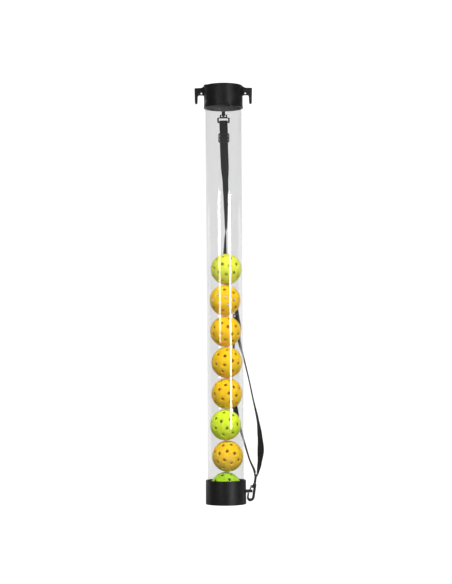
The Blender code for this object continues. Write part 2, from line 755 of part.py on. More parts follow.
def lower_slider_frame():
    across = -width_vector(LOWER_SLIDER_PLACE[3])
    before = upper_run()[-1][0]
    after = beside_tube(*OUTER_RUN[0][:3])
    along = (before - after).normalized()
    across = (across - along * across.dot(along)).normalized()
    outward = along.cross(across)
    turn = Matrix((across, outward, along)).transposed().to_4x4()
    return Matrix.Translation(beside_tube(*LOWER_SLIDER_PLACE[:3])) @ turn


def strap_stations():
    """The webbing's whole route, from its end on the upper slider to its end on the lower one."""
    upper = upper_slider_frame()
    lower = lower_slider_frame()
    top_bar = loop_bar_frame(cap_clip_frame(), CAP_BAR_U, CAP_BAR_V)
    low_bar = loop_bar_frame(collar_clip_frame(), COLLAR_BAR_U, COLLAR_BAR_V)
    straight = SLIDER_BAR / 2 - SLIDER_THICKNESS / 2 + SLIDER_EDGE
    behind = SLIDER_TURN + LAYER_STEP
    across = Vector((1.0, 0.0, 0.0))

    def beside(frame, depth, along):
        return (frame @ Vector((0.0, depth, along)), frame.to_3x3() @ across)

    def run(rows):
        return [(beside_tube(*row[:3]), width_vector(row[3])) for row in rows]

    def faces(width, stations):
        """Turn a width vector round if it points against the first station's."""
        return -width if width.dot(stations[0][1]) < 0 else width

    def round_loop(frame):
        """In along one side of a loop's bar, under it, and out along the other side."""
        lead = Vector((0.0, 0.0, 3 * LOOP_RIM))
        turn = bar_wrap(frame, LOOP_TURN, 0.0, 180.0, 360.0, 6)
        shift = frame.to_3x3() @ lead
        return [(turn[0][0] + shift, turn[0][1]), *turn, (turn[-1][0] + shift, turn[-1][1])]

    tall = SLIDER_HEIGHT / 2
    stations = bar_wrap(upper, SLIDER_TURN, straight, 100.0, 360.0, 9)
    stations.append(beside(upper, SLIDER_TURN, tall))
    stations += round_loop(top_bar)
    stations += [beside(upper, behind, tall), beside(upper, behind, 0.0), beside(upper, behind, -tall)]
    stations += upper_run()
    stations += [beside(lower, behind, tall), beside(lower, behind, 0.0), beside(lower, behind, -tall)]
    stations += run(OUTER_RUN)
    stations += reversed(round_loop(low_bar))
    stations += run(reversed(INNER_RUN))
    stations.append(beside(lower, SLIDER_TURN, -tall))
    stations += bar_wrap(lower, SLIDER_TURN, straight, 0.0, 260.0, 8)
    fixed = [stations[0]]
    for point, width in stations[1:]:
        fixed.append((point, faces(width, [fixed[-1]])))
    return fixed


def build_strap(parent, material):
    """Sweep the webbing's flat section along its route."""
    route = smooth_route(strap_stations())
    bm = bmesh.new()
    rings = []
    for i, (point, width) in enumerate(route):
        along = (route[min(i + 1, len(route) - 1)][0] - route[max(i - 1, 0)][0]).normalized()
        across = (width - along * width.dot(along)).normalized() * WEBBING_WIDTH / 2
        through = along.cross(across).normalized() * WEBBING_THICKNESS / 2
        corners = (across + through, through - across, -across - through, across - through)
        rings.append([bm.verts.new(point + corner) for corner in corners])
    for near, far in zip(rings, rings[1:]):
        for k in range(4):
            after = (k + 1) % 4
            bm.faces.new((near[k], near[after], far[after], far[k]))
    bm.faces.new(rings[0])
    bm.faces.new(rings[-1])
    make_object("strap_webbing", bm, material, parent)


# Balls

def hole_directions():
    """Forty hole centres: rows at matching latitudes, with the lower half turned by half a step."""
    directions = []
    for half in (1.0, -1.0):
        for row, (count, latitude) in enumerate(BALL_HOLE_ROWS):
            for k in range(count):
                turn = math.tau * (k + (0.5 if (half < 0) != (row % 2 == 1) else 0.0)) / count
                lift = math.radians(latitude) * half
                directions.append(
                    Vector(
                        (
                            math.cos(lift) * math.cos(turn),
                            math.cos(lift) * math.sin(turn),
                            math.sin(lift),
                        )
                    )
                )
    return directions


def ball_mesh():
    """A hollow ball: the hull of every hole's rim, once outside and once inside, joined at the holes."""
    bm = bmesh.new()
    spread = math.asin(BALL_HOLE_DIAMETER / 2 / BALL_RADIUS)
    rims = []
    for direction in hole_directions():
        side = direction.orthogonal().normalized()
        other = direction.cross(side)
        rim = []
        for k in range(BALL_HOLE_SIDES):
            angle = math.tau * k / BALL_HOLE_SIDES
            offset = side * math.cos(angle) + other * math.sin(angle)
            ray = direction * math.cos(spread) + offset * math.sin(spread)
            rim.append(bm.verts.new(ray * BALL_RADIUS))
        rims.append(rim)
    bmesh.ops.convex_hull(bm, input=bm.verts, use_existing_faces=False)
    bm.verts.index_update()
    owner = {vert: i for i, rim in enumerate(rims) for vert in rim}
    plugs = [face for face in bm.faces if len({owner[vert] for vert in face.verts}) == 1]
    bmesh.ops.delete(bm, geom=plugs, context="FACES_ONLY")
    outer_faces = list(bm.faces)
    copy = bmesh.ops.duplicate(bm, geom=list(bm.verts) + list(bm.edges) + outer_faces)
    twin = {}
    for key, value in copy["vert_map"].items():
        twin[key] = value
    inner_share = (BALL_RADIUS - BALL_WALL) / BALL_RADIUS
    for rim in rims:
        for vert in rim:
            twin[vert].co *= inner_share
    for rim in rims:
        for k in range(BALL_HOLE_SIDES):
            after = (k + 1) % BALL_HOLE_SIDES
            bm.faces.new((rim[k], rim[after], twin[rim[after]], twin[rim[k]]))
    stray = [edge for edge in bm.edges if not edge.link_faces]
    bmesh.ops.delete(bm, geom=stray, context="EDGES")
    return bm


def ball_centres():
    """Each ball rests on the one below it, leaning on the tube's wall by its share of the play."""
    play = TUBE_BORE * math.cos(math.pi / ROUND_SIDES) - BALL_RADIUS - GAP
    seat = BALL_RADIUS + GAP
    tip = FINGER_TIP_RADIUS
    height = FINGER_TIP_HEIGHT + math.sqrt(seat**2 - tip**2)
    centres = []
    for share, direction in BALL_LEANS:
        angle = math.radians(direction)
        centre = Vector((play * share * math.cos(angle), play * share * math.sin(angle), height))
        if centres:
            aside = (centre - centres[-1]).xy.length
            pitch = math.sqrt((BALL_DIAMETER + GAP) ** 2 - aside**2)
            centre.z = centres[-1].z + pitch
        centres.append(centre)
    return centres


def build_balls(parent, materials):
    names = ("green", "orange", "lime", "orange", "orange", "orange", "orange", "lime")
    for k, (centre, colour, turn) in enumerate(zip(ball_centres(), names, BALL_TURNS)):
        ball = make_object(f"ball_{k + 1}", ball_mesh(), materials[f"ball_{colour}"], parent)
        ball.location = centre
        ball.rotation_euler = (math.radians(turn * 0.5), math.radians(turn * 0.8), math.radians(turn))


def make_materials():
    return {
        "clear": make_material("clear_tube", (0.93, 0.94, 0.95), 0.05, 0.0, 0.95),
        "black": make_material("black_moulding", (0.012, 0.012, 0.013), 0.38),
        "ring": make_material("soft_ring", (0.03, 0.03, 0.032), 0.55),
        "clip": make_material("clip_plastic", (0.035, 0.035, 0.037), 0.32),
        "steel": make_material("pin_steel", (0.55, 0.55, 0.56), 0.3, 1.0),
        "webbing": make_material("black_webbing", (0.018, 0.018, 0.02), 0.85),
        "ball_lime": make_material("lime_ball", (0.62, 0.82, 0.02), 0.42),
        "ball_green": make_material("green_ball", (0.38, 0.66, 0.01), 0.42),
        "ball_orange": make_material("orange_ball", (0.87, 0.53, 0.005), 0.42),
    }


def main():
    clear_scene()
    materials = make_materials()
    axis = make_empty("tube_axis", Matrix.Translation((AXIS_X, AXIS_Y, 0.0)))
    build_tube(axis, materials["clear"])
    build_collar(axis, materials["black"])
    build_ring(axis, materials["ring"])
    build_cap(axis, materials["black"])
    build_balls(axis, materials)
    cap_clip = make_empty("cap_clip_pivot", cap_clip_frame(), axis)
    build_clip("top", cap_clip, CAP_BAR_U, CAP_BAR_V, materials)
    collar_clip = make_empty("collar_clip_pivot", collar_clip_frame(), axis)
    build_clip("bottom", collar_clip, COLLAR_BAR_U, COLLAR_BAR_V, materials)
    upper = make_empty("upper_slider_place", upper_slider_frame(), axis)
    build_slider("upper_slider", upper, materials["clip"])
    lower = make_empty("lower_slider_place", lower_slider_frame(), axis)
    build_slider("lower_slider", lower, materials["clip"])
    build_strap(axis, materials["webbing"])


main()
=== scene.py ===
"""Blender scene of a clear pickup tube for pickleballs.

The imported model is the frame. The classes below dress each sub-assembly of it: the clear tube, the
cap with its two hangers, the collar and its soft ring, the hollow balls, the two swivel clips, the
sliders and the webbing. Sizes are in metres. Sub-assemblies are laid out about the tube's own axis,
which stands beside the middle of the object's box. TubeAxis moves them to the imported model's frame.
"""

import json
import logging
import math
from dataclasses import dataclass, field
from enum import Enum
from typing import Callable, Iterable, Sequence

import bmesh
import bpy
from mathutils import Matrix, Vector

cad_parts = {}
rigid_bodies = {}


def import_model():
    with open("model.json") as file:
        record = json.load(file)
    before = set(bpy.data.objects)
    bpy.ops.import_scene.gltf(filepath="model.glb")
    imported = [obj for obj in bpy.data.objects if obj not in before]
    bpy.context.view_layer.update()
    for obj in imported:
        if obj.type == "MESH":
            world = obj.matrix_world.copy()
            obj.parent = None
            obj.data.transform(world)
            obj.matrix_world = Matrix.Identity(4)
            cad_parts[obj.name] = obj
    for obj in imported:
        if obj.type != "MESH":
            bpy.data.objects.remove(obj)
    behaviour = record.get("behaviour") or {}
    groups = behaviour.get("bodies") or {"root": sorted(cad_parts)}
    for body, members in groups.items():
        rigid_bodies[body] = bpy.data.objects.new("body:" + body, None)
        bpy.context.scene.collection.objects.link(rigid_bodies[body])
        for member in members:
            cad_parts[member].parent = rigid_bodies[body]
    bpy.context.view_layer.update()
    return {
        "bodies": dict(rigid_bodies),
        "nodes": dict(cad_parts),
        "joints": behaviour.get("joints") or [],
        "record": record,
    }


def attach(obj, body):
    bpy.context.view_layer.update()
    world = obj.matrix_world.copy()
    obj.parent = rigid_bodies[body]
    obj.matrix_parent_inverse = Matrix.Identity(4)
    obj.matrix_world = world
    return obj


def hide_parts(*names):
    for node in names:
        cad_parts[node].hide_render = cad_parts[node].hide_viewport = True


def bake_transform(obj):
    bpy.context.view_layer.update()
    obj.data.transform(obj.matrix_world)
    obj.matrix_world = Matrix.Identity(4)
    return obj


LOG = logging.getLogger("pickup_tube")

Pair = tuple[float, float]
Point = tuple[float, float, float]
Colour = tuple[float, float, float]
Course = list[tuple[Vector, Vector]]
Piece = bpy.types.Object
Faces = bmesh.types.BMesh
Material = bpy.types.Material
Node = bpy.types.Node
Socket = bpy.types.NodeSocket
Tree = bpy.types.NodeTree

SAME_PLACE = 1e-6


class Body(str, Enum):
    """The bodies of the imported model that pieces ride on."""

    TUBE = "tube_body"
    CAP = "cap"
    BALLS = "ball_stack"
    TOP_HOOK = "top_hook"
    TOP_GATE = "top_gate"
    TOP_LOOP = "top_loop"
    TOP_SLIDER = "top_slider"
    LOW_HOOK = "bottom_hook"
    LOW_GATE = "bottom_gate"
    LOW_LOOP = "bottom_loop"
    LOW_SLIDER = "bottom_slider"


class Slot(str, Enum):
    """Material slots of the record."""

    CLEAR = "clear_plastic"
    BLACK = "black_plastic"
    RUBBER = "black_rubber"
    STEEL = "steel"
    WEBBING = "webbing"
    ORANGE = "ball_orange"
    LIME = "ball_lime"
    GREEN = "ball_green"


@dataclass(frozen=True)
class TubeAxis:
    """Where the tube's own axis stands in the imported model's frame."""

    x: float = -0.0105
    y: float = -0.0105

    def matrix(self) -> Matrix:
        """Move from the tube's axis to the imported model's frame."""
        return Matrix.Translation((self.x, self.y, 0.0))


AXIS = TubeAxis()


# Shared mesh helpers


def linked(name: str, data: bpy.types.ID) -> Piece:
    """Put a mesh, light or camera into the scene as an object.

    Args:
        name: Name of the object.
        data: What the object shows.

    Returns:
        The new object, linked to the scene.
    """
    piece = bpy.data.objects.new(name, data)
    bpy.context.scene.collection.objects.link(piece)
    return piece


def mesh_of(name: str, bm: Faces) -> bpy.types.Mesh:
    """Turn faces into a mesh.

    Args:
        name: Name of the mesh.
        bm: The faces; they are freed.

    Returns:
        The new mesh.
    """
    mesh = bpy.data.meshes.new(name)
    bm.to_mesh(mesh)
    bm.free()
    return mesh


def skin(bm: Faces, rings: Sequence[Sequence[bmesh.types.BMVert]], caps: bool = True) -> None:
    """Join each ring of vertices to the next with faces.

    Args:
        bm: Where the rings are.
        rings: Rings with as many vertices each.
        caps: Whether the first and last ring are closed.
    """
    for near, far in zip(rings, rings[1:]):
        for k in range(len(near)):
            after = (k + 1) % len(near)
            bm.faces.new((near[k], near[after], far[after], far[k]))
    if caps:
        bm.faces.new(rings[0])
        bm.faces.new(rings[-1])


def crisp(mesh: bpy.types.Mesh, degrees: float) -> None:
    """Shade a mesh smooth, but keep edges sharper than this many degrees crisp."""
    mesh.shade_smooth()
    mesh.set_sharp_from_angle(angle=math.radians(degrees))


def new_piece(name: str, bm: Faces, placed: Matrix, smooth: float = 38.0) -> Piece:
    """Turn a bmesh into an object with its place baked into the mesh.

    Args:
        name: Name of the piece.
        bm: The piece's faces, about its own frame; it is freed.
        placed: Matrix from the piece's frame to the tube's axis.
        smooth: Edges sharper than this many degrees stay crisp.

    Returns:
        The new object, linked to the scene.
    """
    bmesh.ops.recalc_face_normals(bm, faces=bm.faces)
    bm.transform(AXIS.matrix() @ placed)
    mesh = mesh_of(name, bm)
    crisp(mesh, smooth)
    return linked(name, mesh)


def apply_modifiers(piece: Piece) -> None:
    """Bake a piece's modifiers into its mesh."""
    graph = bpy.context.evaluated_depsgraph_get()
    mesh = bpy.data.meshes.new_from_object(piece.evaluated_get(graph))
    old = piece.data
    piece.modifiers.clear()
    piece.data = mesh
    mesh.name = old.name
    bpy.data.meshes.remove(old)


def cut_or_join(piece: Piece, tools: Iterable[Piece], operation: str) -> None:
    """Run one Boolean for each tool and then delete the tools.

    Args:
        piece: The piece that is changed.
        tools: Closed shapes in the same frame.
        operation: UNION or DIFFERENCE.
    """
    tools = list(tools)
    for tool in tools:
        modifier = piece.modifiers.new(tool.name, "BOOLEAN")
        modifier.operation = operation
        modifier.solver = "EXACT"
        modifier.object = tool
    bpy.context.view_layer.update()
    apply_modifiers(piece)
    for tool in tools:
        mesh = tool.data
        bpy.data.objects.remove(tool)
        bpy.data.meshes.remove(mesh)


def soften(piece: Piece, width: float, segments: int = 2, angle: float = 32.0) -> None:
    """Round a piece's sharp edges.

    Args:
        piece: The piece.
        width: Bevel width in metres.
        segments: Steps across the bevel.
        angle: Edges sharper than this many degrees are rounded.
    """
    modifier = piece.modifiers.new("soften", "BEVEL")
    modifier.width = width
    modifier.segments = segments
    modifier.limit_method = "ANGLE"
    modifier.angle_limit = math.radians(angle)
    modifier.use_clamp_overlap = True
    apply_modifiers(piece)
    crisp(piece.data, 40.0)


def held(profile: Sequence[Pair], closed: bool) -> list[Pair]:
    """Add a point close to each end of a long straight run, which keeps its shading flat."""
    result = []
    following = [*profile[1:], profile[0]] if closed else list(profile[1:])
    for near, far in zip(profile, following):
        result.append(near)
        length = math.hypot(far[0] - near[0], far[1] - near[1])
        if length > 0.004:
            for share in (0.0005 / length, 1 - 0.0005 / length):
                result.append((near[0] + (far[0] - near[0]) * share, near[1] + (far[1] - near[1]) * share))
    if not closed:
        result.append(profile[-1])
    return result


def turned(profile: Sequence[Pair], sides: int = 96, closed: bool = True) -> Faces:
    """Turn a profile about Z.

    Args:
        profile: (radius, height) points.
        sides: Faces round the turn.
        closed: The last point joins the first; otherwise the ends get caps.

    Returns:
        The turned faces.
    """
    bm = bmesh.new()
    rings = []
    for radius, height in held(profile, closed):
        ring = []
        for k in range(sides):
            angle = math.tau * k / sides
            ring.append(bm.verts.new((radius * math.cos(angle), radius * math.sin(angle), height)))
        rings.append(ring)
    skin(bm, rings + rings[:1] if closed else rings, not closed)
    return bm


def extruded(
    outline: Sequence[Pair], half: float, place: Callable[[float, float, float], Point]
) -> Faces:
    """Extrude a flat outline both ways.

    Args:
        outline: Points of the flat outline.
        half: Half of the depth.
        place: Turns (a, b, depth) into a point.

    Returns:
        The closed prism.
    """
    bm = bmesh.new()
    near = [bm.verts.new(place(a, b, -half)) for a, b in outline]
    far = [bm.verts.new(place(a, b, half)) for a, b in outline]
    bm.faces.new(near)
    bm.faces.new(far)
    for k in range(len(outline)):
        after = (k + 1) % len(outline)
        bm.faces.new((near[k], near[after], far[after], far[k]))
    return bm


def round_rims(bm: Faces, axis: int, width: float, segments: int, beyond: float = -1.0) -> None:
    """Round the two rims of an extruded outline.

    Args:
        bm: The prism.
        axis: Number of the axis that it was extruded along.
        width: Bevel width in metres.
        segments: Steps across the bevel.
        beyond: Edges that come nearer than this to the plane x = 0 stay sharp.
    """
    rim = [e for e in bm.edges if abs(e.verts[0].co[axis] - e.verts[1].co[axis]) < SAME_PLACE]
    rim = [e for e in rim if min(abs(v.co.x) for v in e.verts) > beyond]
    bmesh.ops.bevel(bm, geom=rim, offset=width, segments=segments, profile=0.5, affect="EDGES")


def upright(a: float, b: float, depth: float) -> Point:
    """Place an outline in the XZ plane, with its depth along Y."""
    return (a, depth, b)


def sideways(a: float, b: float, depth: float) -> Point:
    """Place an outline in the YZ plane, with its depth along X."""
    return (depth, a, b)


def flat(a: float, b: float, depth: float) -> Point:
    """Place an outline in the XY plane, with its depth along Z."""
    return (a, b, depth)


def arc(centre: Pair, radius: float, start: float, end: float, steps: int) -> list[Pair]:
    """Points on an arc, with angles in degrees."""
    points = []
    for k in range(steps + 1):
        angle = math.radians(start + (end - start) * k / steps)
        points.append((centre[0] + radius * math.cos(angle), centre[1] + radius * math.sin(angle)))
    return points


def rounded_frame(half: float, low: float, high: float, corner: float, steps: int = 5) -> list[Pair]:
    """Outline of a rectangle with rounded corners, symmetric about zero in its first axis."""
    outline = arc((half - corner, low + corner), corner, -90.0, 0.0, steps)
    outline += arc((half - corner, high - corner), corner, 0.0, 90.0, steps)
    outline += arc((-half + corner, high - corner), corner, 90.0, 180.0, steps)
    outline += arc((-half + corner, low + corner), corner, 180.0, 270.0, steps)
    return outline


def swept(points: Sequence[Vector], radii: Sequence[float], sides: int = 20) -> Faces:
    """A round bar through points that lie in the XZ plane, with its own radius at each.

    Args:
        points: Centreline.
        radii: Radius at each point.
        sides: Faces round the bar.

    Returns:
        The closed bar.
    """
    bm = bmesh.new()
    rings = []
    for i, (point, radius) in enumerate(zip(points, radii)):
        ahead = points[min(i + 1, len(points) - 1)]
        behind = points[max(i - 1, 0)]
        along = (ahead - behind).normalized()
        across = Vector((along.z, 0.0, -along.x))
        ring = []
        for k in range(sides):
            angle = math.tau * (k + 0.5) / sides
            offset = across * math.cos(angle) + Vector((0.0, math.sin(angle), 0.0))
            ring.append(bm.verts.new(point + offset * radius))
        rings.append(ring)
    skin(bm, rings)
    return bm


# Node groups that several finishes share


class NodeSheet:
    """A node tree with short calls to add and join nodes."""

    def __init__(self, tree: Tree) -> None:
        """Keep the tree that nodes are added to."""
        self.tree = tree

    def add(self, kind: str, inputs: dict | None = None, **settings: object) -> Node:
        """Add a node.

        Args:
            kind: The node's Blender type, such as ShaderNodeMix.
            inputs: Socket name or number to a value, or to an output socket to join.
            settings: Properties of the node, such as operation.

        Returns:
            The new node.
        """
        node = self.tree.nodes.new(kind)
        for name, value in settings.items():
            setattr(node, name, value)
        for name, value in (inputs or {}).items():
            self.feed(node.inputs[name], value)
        return node

    def feed(self, socket: Socket, value: object) -> None:
        """Set a socket's value, or join another socket to it."""
        if isinstance(value, Socket):
            self.tree.links.new(value, socket)
        else:
            socket.default_value = value

    def math(self, operation: str, a: object, b: object = 0.0, clamp: bool = False) -> Socket:
        """Join two numbers with a Math node."""
        node = self.add("ShaderNodeMath", {0: a, 1: b}, operation=operation, use_clamp=clamp)
        return node.outputs[0]

    def remap(
        self, value: object, low: object, high: float, to_low: float = 0.0, to_high: float = 1.0
    ) -> Socket:
        """Map a number from one range to another, smoothly and without leaving the second range."""
        node = self.add(
            "ShaderNodeMapRange",
            {"Value": value, "From Min": low, "From Max": high, "To Min": to_low, "To Max": to_high},
            interpolation_type="SMOOTHSTEP",
        )
        return node.outputs["Result"]

    def blend(self, share: object, a: object, b: object) -> Socket:
        """Mix two colours by a share."""
        node = self.add("ShaderNodeMix", data_type="RGBA")
        self.feed(node.inputs[0], share)
        self.feed(node.inputs[6], a)
        self.feed(node.inputs[7], b)
        return node.outputs[2]

    def noise(self, where: object, scale: object, detail: float = 3.0, roughness: float = 0.55) -> Socket:
        """Noise at a place, as one number."""
        node = self.add(
            "ShaderNodeTexNoise", {"Vector": where, "Scale": scale, "Detail": detail, "Roughness": roughness}
        )
        return node.outputs["Fac"]

    def group(self, tree: Tree, inputs: dict | None = None) -> Node:
        """Add a shared group."""
        return self.add("ShaderNodeGroup", inputs, node_tree=tree)

    def bump(self, shader: Node, height: object, strength: float, distance: float) -> None:
        """Lean a shader's normal by a height."""
        node = self.add("ShaderNodeBump", {"Height": height, "Strength": strength, "Distance": distance})
        self.feed(shader.inputs["Normal"], node.outputs[0])

    def settle(self, shader: Node, values: dict) -> None:
        """Feed several of a shader's inputs by name."""
        for name, value in values.items():
            self.feed(shader.inputs[name], value)


class SharedEffects:
    """Node groups used by more than one finish, each built once."""

    def __init__(self) -> None:
        """Build every group."""
        self.grain = self._grain()
        self.wear = self._wear()
        self.scuffs = self._scuffs()
        self.weave = self._weave()

    @staticmethod
    def _group(name: str, inputs: dict[str, float], outputs: Sequence[str]) -> tuple[NodeSheet, Node, Node]:
        """Start a group with number sockets.

        Args:
            name: The group's name.
            inputs: Input name to default value.
            outputs: Output names.

        Returns:
            The sheet, the input node and the output node.
        """
        tree = bpy.data.node_groups.new(name, "ShaderNodeTree")
        for title, value in inputs.items():
            socket = tree.interface.new_socket(title, in_out="INPUT", socket_type="NodeSocketFloat")
            socket.default_value = value
        for title in outputs:
            tree.interface.new_socket(title, in_out="OUTPUT", socket_type="NodeSocketFloat")
        sheet = NodeSheet(tree)
        return sheet, sheet.add("NodeGroupInput"), sheet.add("NodeGroupOutput")

    def _grain(self) -> Tree:
        """Fine moulded grain over slow unevenness."""
        scales = {"Scale": 900.0, "Slow scale": 40.0}
        sheet, given, result = self._group("Moulded grain", scales, ("Height", "Tone"))
        where = sheet.add("ShaderNodeTexCoord").outputs["Object"]
        fine = sheet.noise(where, given.outputs["Scale"], 2.0)
        slow = sheet.noise(where, given.outputs["Slow scale"], 2.0)
        height = sheet.math("ADD", sheet.math("MULTIPLY", fine, 0.35), sheet.math("MULTIPLY", slow, 0.65))
        sheet.feed(result.inputs["Height"], height)
        sheet.feed(result.inputs["Tone"], sheet.remap(slow, 0.35, 0.65))
        return sheet.tree

    def _wear(self) -> Tree:
        """A mask that grows along outer edges and breaks up there."""
        sheet, given, result = self._group("Edge wear", {"Sharpness": 0.52, "Break up": 300.0}, ("Mask",))
        pointed = sheet.add("ShaderNodeNewGeometry").outputs["Pointiness"]
        where = sheet.add("ShaderNodeTexCoord").outputs["Object"]
        patches = sheet.noise(where, given.outputs["Break up"], 4.0)
        edge = sheet.remap(pointed, given.outputs["Sharpness"], 0.60)
        mask = sheet.math("MULTIPLY", edge, sheet.remap(patches, 0.38, 0.62))
        sheet.feed(result.inputs["Mask"], mask)
        return sheet.tree

    def _scuffs(self) -> Tree:
        """Thin rubbed lines that run mostly up and down, in patches."""
        sheet, given, result = self._group("Rubbed scuffs", {"Scale": 60.0, "Amount": 0.5}, ("Mask", "Haze"))
        where = sheet.add("ShaderNodeTexCoord").outputs["Object"]
        mapping = {"Vector": where, "Rotation": (0.06, 0.09, 0.0), "Scale": (1.0, 1.0, 0.035)}
        lean = sheet.add("ShaderNodeMapping", mapping)
        lines = sheet.noise(lean.outputs[0], given.outputs["Scale"], 4.0, 0.7)
        patches = sheet.noise(where, 14.0, 3.0)
        thin = sheet.remap(lines, 0.60, 0.72)
        share = sheet.math("MULTIPLY", thin, sheet.remap(patches, 0.42, 0.66))
        sheet.feed(result.inputs["Mask"], sheet.math("MULTIPLY", share, given.outputs["Amount"]))
        sheet.feed(result.inputs["Haze"], sheet.remap(patches, 0.3, 0.8))
        return sheet.tree

    def _weave(self) -> Tree:
        """Woven webbing from a UV map in metres: rows of ribs with a twill lean, and a tone that is darker in
        the grooves and lighter on the crests, which is painted shade, times a random fibre tint.
        """
        rates = {"Ribs per metre": 760.0, "Threads per metre": 1000.0}
        sheet, given, result = self._group("Webbing weave", rates, ("Height", "Shade"))
        place = sheet.add("ShaderNodeUVMap", uv_map="weave").outputs[0]
        split = sheet.add("ShaderNodeSeparateXYZ", {0: place})
        across, along = split.outputs[0], split.outputs[1]
        rib_turn = sheet.math("MULTIPLY", along, given.outputs["Ribs per metre"])
        thread_turn = sheet.math("MULTIPLY", across, given.outputs["Threads per metre"])
        rows = sheet.math("FLOOR", thread_turn)
        shifted = sheet.math("ADD", rib_turn, sheet.math("MULTIPLY", rows, 0.5))
        rib = sheet.math("ABSOLUTE", sheet.math("SINE", sheet.math("MULTIPLY", shifted, math.pi)))
        thread = sheet.math("ABSOLUTE", sheet.math("SINE", sheet.math("MULTIPLY", thread_turn, math.pi)))
        height = sheet.math("MULTIPLY", sheet.math("POWER", rib, 0.6), sheet.math("POWER", thread, 0.5))
        fibres = sheet.noise(sheet.add("ShaderNodeTexCoord").outputs["Object"], 1600.0, 2.0)
        sheet.feed(result.inputs["Height"], sheet.math("ADD", height, sheet.math("MULTIPLY", fibres, 0.3)))
        tint = sheet.remap(fibres, 0.2, 0.9, 0.7, 1.0)
        # Painted shade: the rib height darkens the grooves and lightens the crests; the fibre noise adds real
        # tint.
        sheet.feed(result.inputs["Shade"], sheet.math("MULTIPLY", height, tint))
        return sheet.tree


# Finishes


def plain_material(name: str) -> tuple[Material, NodeSheet, Node]:
    """Make a material with a Principled BSDF.

    Args:
        name: Name of the material.

    Returns:
        The material, its node sheet and the shader.
    """
    material = bpy.data.materials.new(name)
    material.use_nodes = True
    return material, NodeSheet(material.node_tree), material.node_tree.nodes["Principled BSDF"]


@dataclass(frozen=True)
class Finish:
    """What every finish has: a name, a colour and a gloss."""

    name: str
    colour: Colour
    roughness: float

    def start(self) -> tuple[Material, NodeSheet, Node]:
        """Make the material with its Principled BSDF.

        Returns:
            The material, its node sheet and the shader.
        """
        material, sheet, shader = plain_material(self.name)
        sheet.feed(shader.inputs["Base Color"], (*self.colour, 1.0))
        sheet.feed(shader.inputs["Roughness"], self.roughness)
        material.diffuse_color = (*self.colour, 1.0)
        return material, sheet, shader


@dataclass(frozen=True)
class MouldedPlastic(Finish):
    """Opaque injection-moulded plastic with fine grain, slow unevenness, rubbed edges and scuffs."""

    specular: float = 0.5
    grain_scale: float = 1400.0
    grain_depth: float = 0.00002
    worn_colour: Colour = (0.06, 0.06, 0.062)
    wear: float = 0.5

    def build(self, effects: SharedEffects) -> Material:
        """Build the material from the shared effects."""
        material, sheet, shader = self.start()
        grain = sheet.group(effects.grain, {"Scale": self.grain_scale, "Slow scale": 55.0})
        edge = sheet.group(effects.wear, {"Break up": 420.0})
        scuffs = sheet.group(effects.scuffs, {"Scale": 220.0, "Amount": 0.35})
        worn = sheet.math("MULTIPLY", edge.outputs["Mask"], self.wear)
        deeper = tuple(channel * 0.8 for channel in self.colour)
        tone = sheet.blend(grain.outputs["Tone"], (*deeper, 1.0), (*self.colour, 1.0))
        rubbed = sheet.math("ADD", worn, sheet.math("MULTIPLY", scuffs.outputs["Mask"], 0.4), clamp=True)
        sheet.feed(shader.inputs["Base Color"], sheet.blend(rubbed, tone, (*self.worn_colour, 1.0)))
        gloss = sheet.remap(grain.outputs["Tone"], 0.0, 1.0, self.roughness - 0.05, self.roughness + 0.04)
        rough = sheet.math("ADD", gloss, sheet.math("MULTIPLY", rubbed, 0.18), clamp=True)
        sheet.feed(shader.inputs["Roughness"], rough)
        sheet.bump(shader, grain.outputs["Height"], 0.35, self.grain_depth)
        shader.inputs["Specular IOR Level"].default_value = self.specular
        return material


@dataclass(frozen=True)
class ClearPlastic(Finish):
    """Clear extruded tube wall: thin, a little grey, stronger towards its edges, with rubbed scuffs."""

    face_on: float = 0.118
    edge_on: float = 0.31

    def build(self, effects: SharedEffects) -> Material:
        """Build the material from the shared effects."""
        material, sheet, shader = self.start()
        scuffs = sheet.group(effects.scuffs, {"Scale": 170.0, "Amount": 1.0})
        grain = sheet.group(effects.grain, {"Scale": 260.0, "Slow scale": 11.0})
        facing = sheet.add("ShaderNodeLayerWeight", {"Blend": 0.5}).outputs["Facing"]
        rim = sheet.math("POWER", facing, 5.0)
        body = sheet.math("ADD", sheet.math("MULTIPLY", rim, self.edge_on), self.face_on)
        haze = sheet.math("MULTIPLY", scuffs.outputs["Mask"], 0.10)
        sheet.feed(shader.inputs["Alpha"], sheet.math("ADD", body, haze, clamp=True))
        rough = sheet.math("ADD", self.roughness, sheet.math("MULTIPLY", scuffs.outputs["Mask"], 0.3))
        sheet.feed(shader.inputs["Roughness"], rough)
        sheet.bump(shader, grain.outputs["Height"], 0.12, 0.0002)
        sheet.settle(shader, {"IOR": 1.5, "Coat Weight": 1.0, "Coat Roughness": 0.03, "Coat IOR": 2.4})
        return material


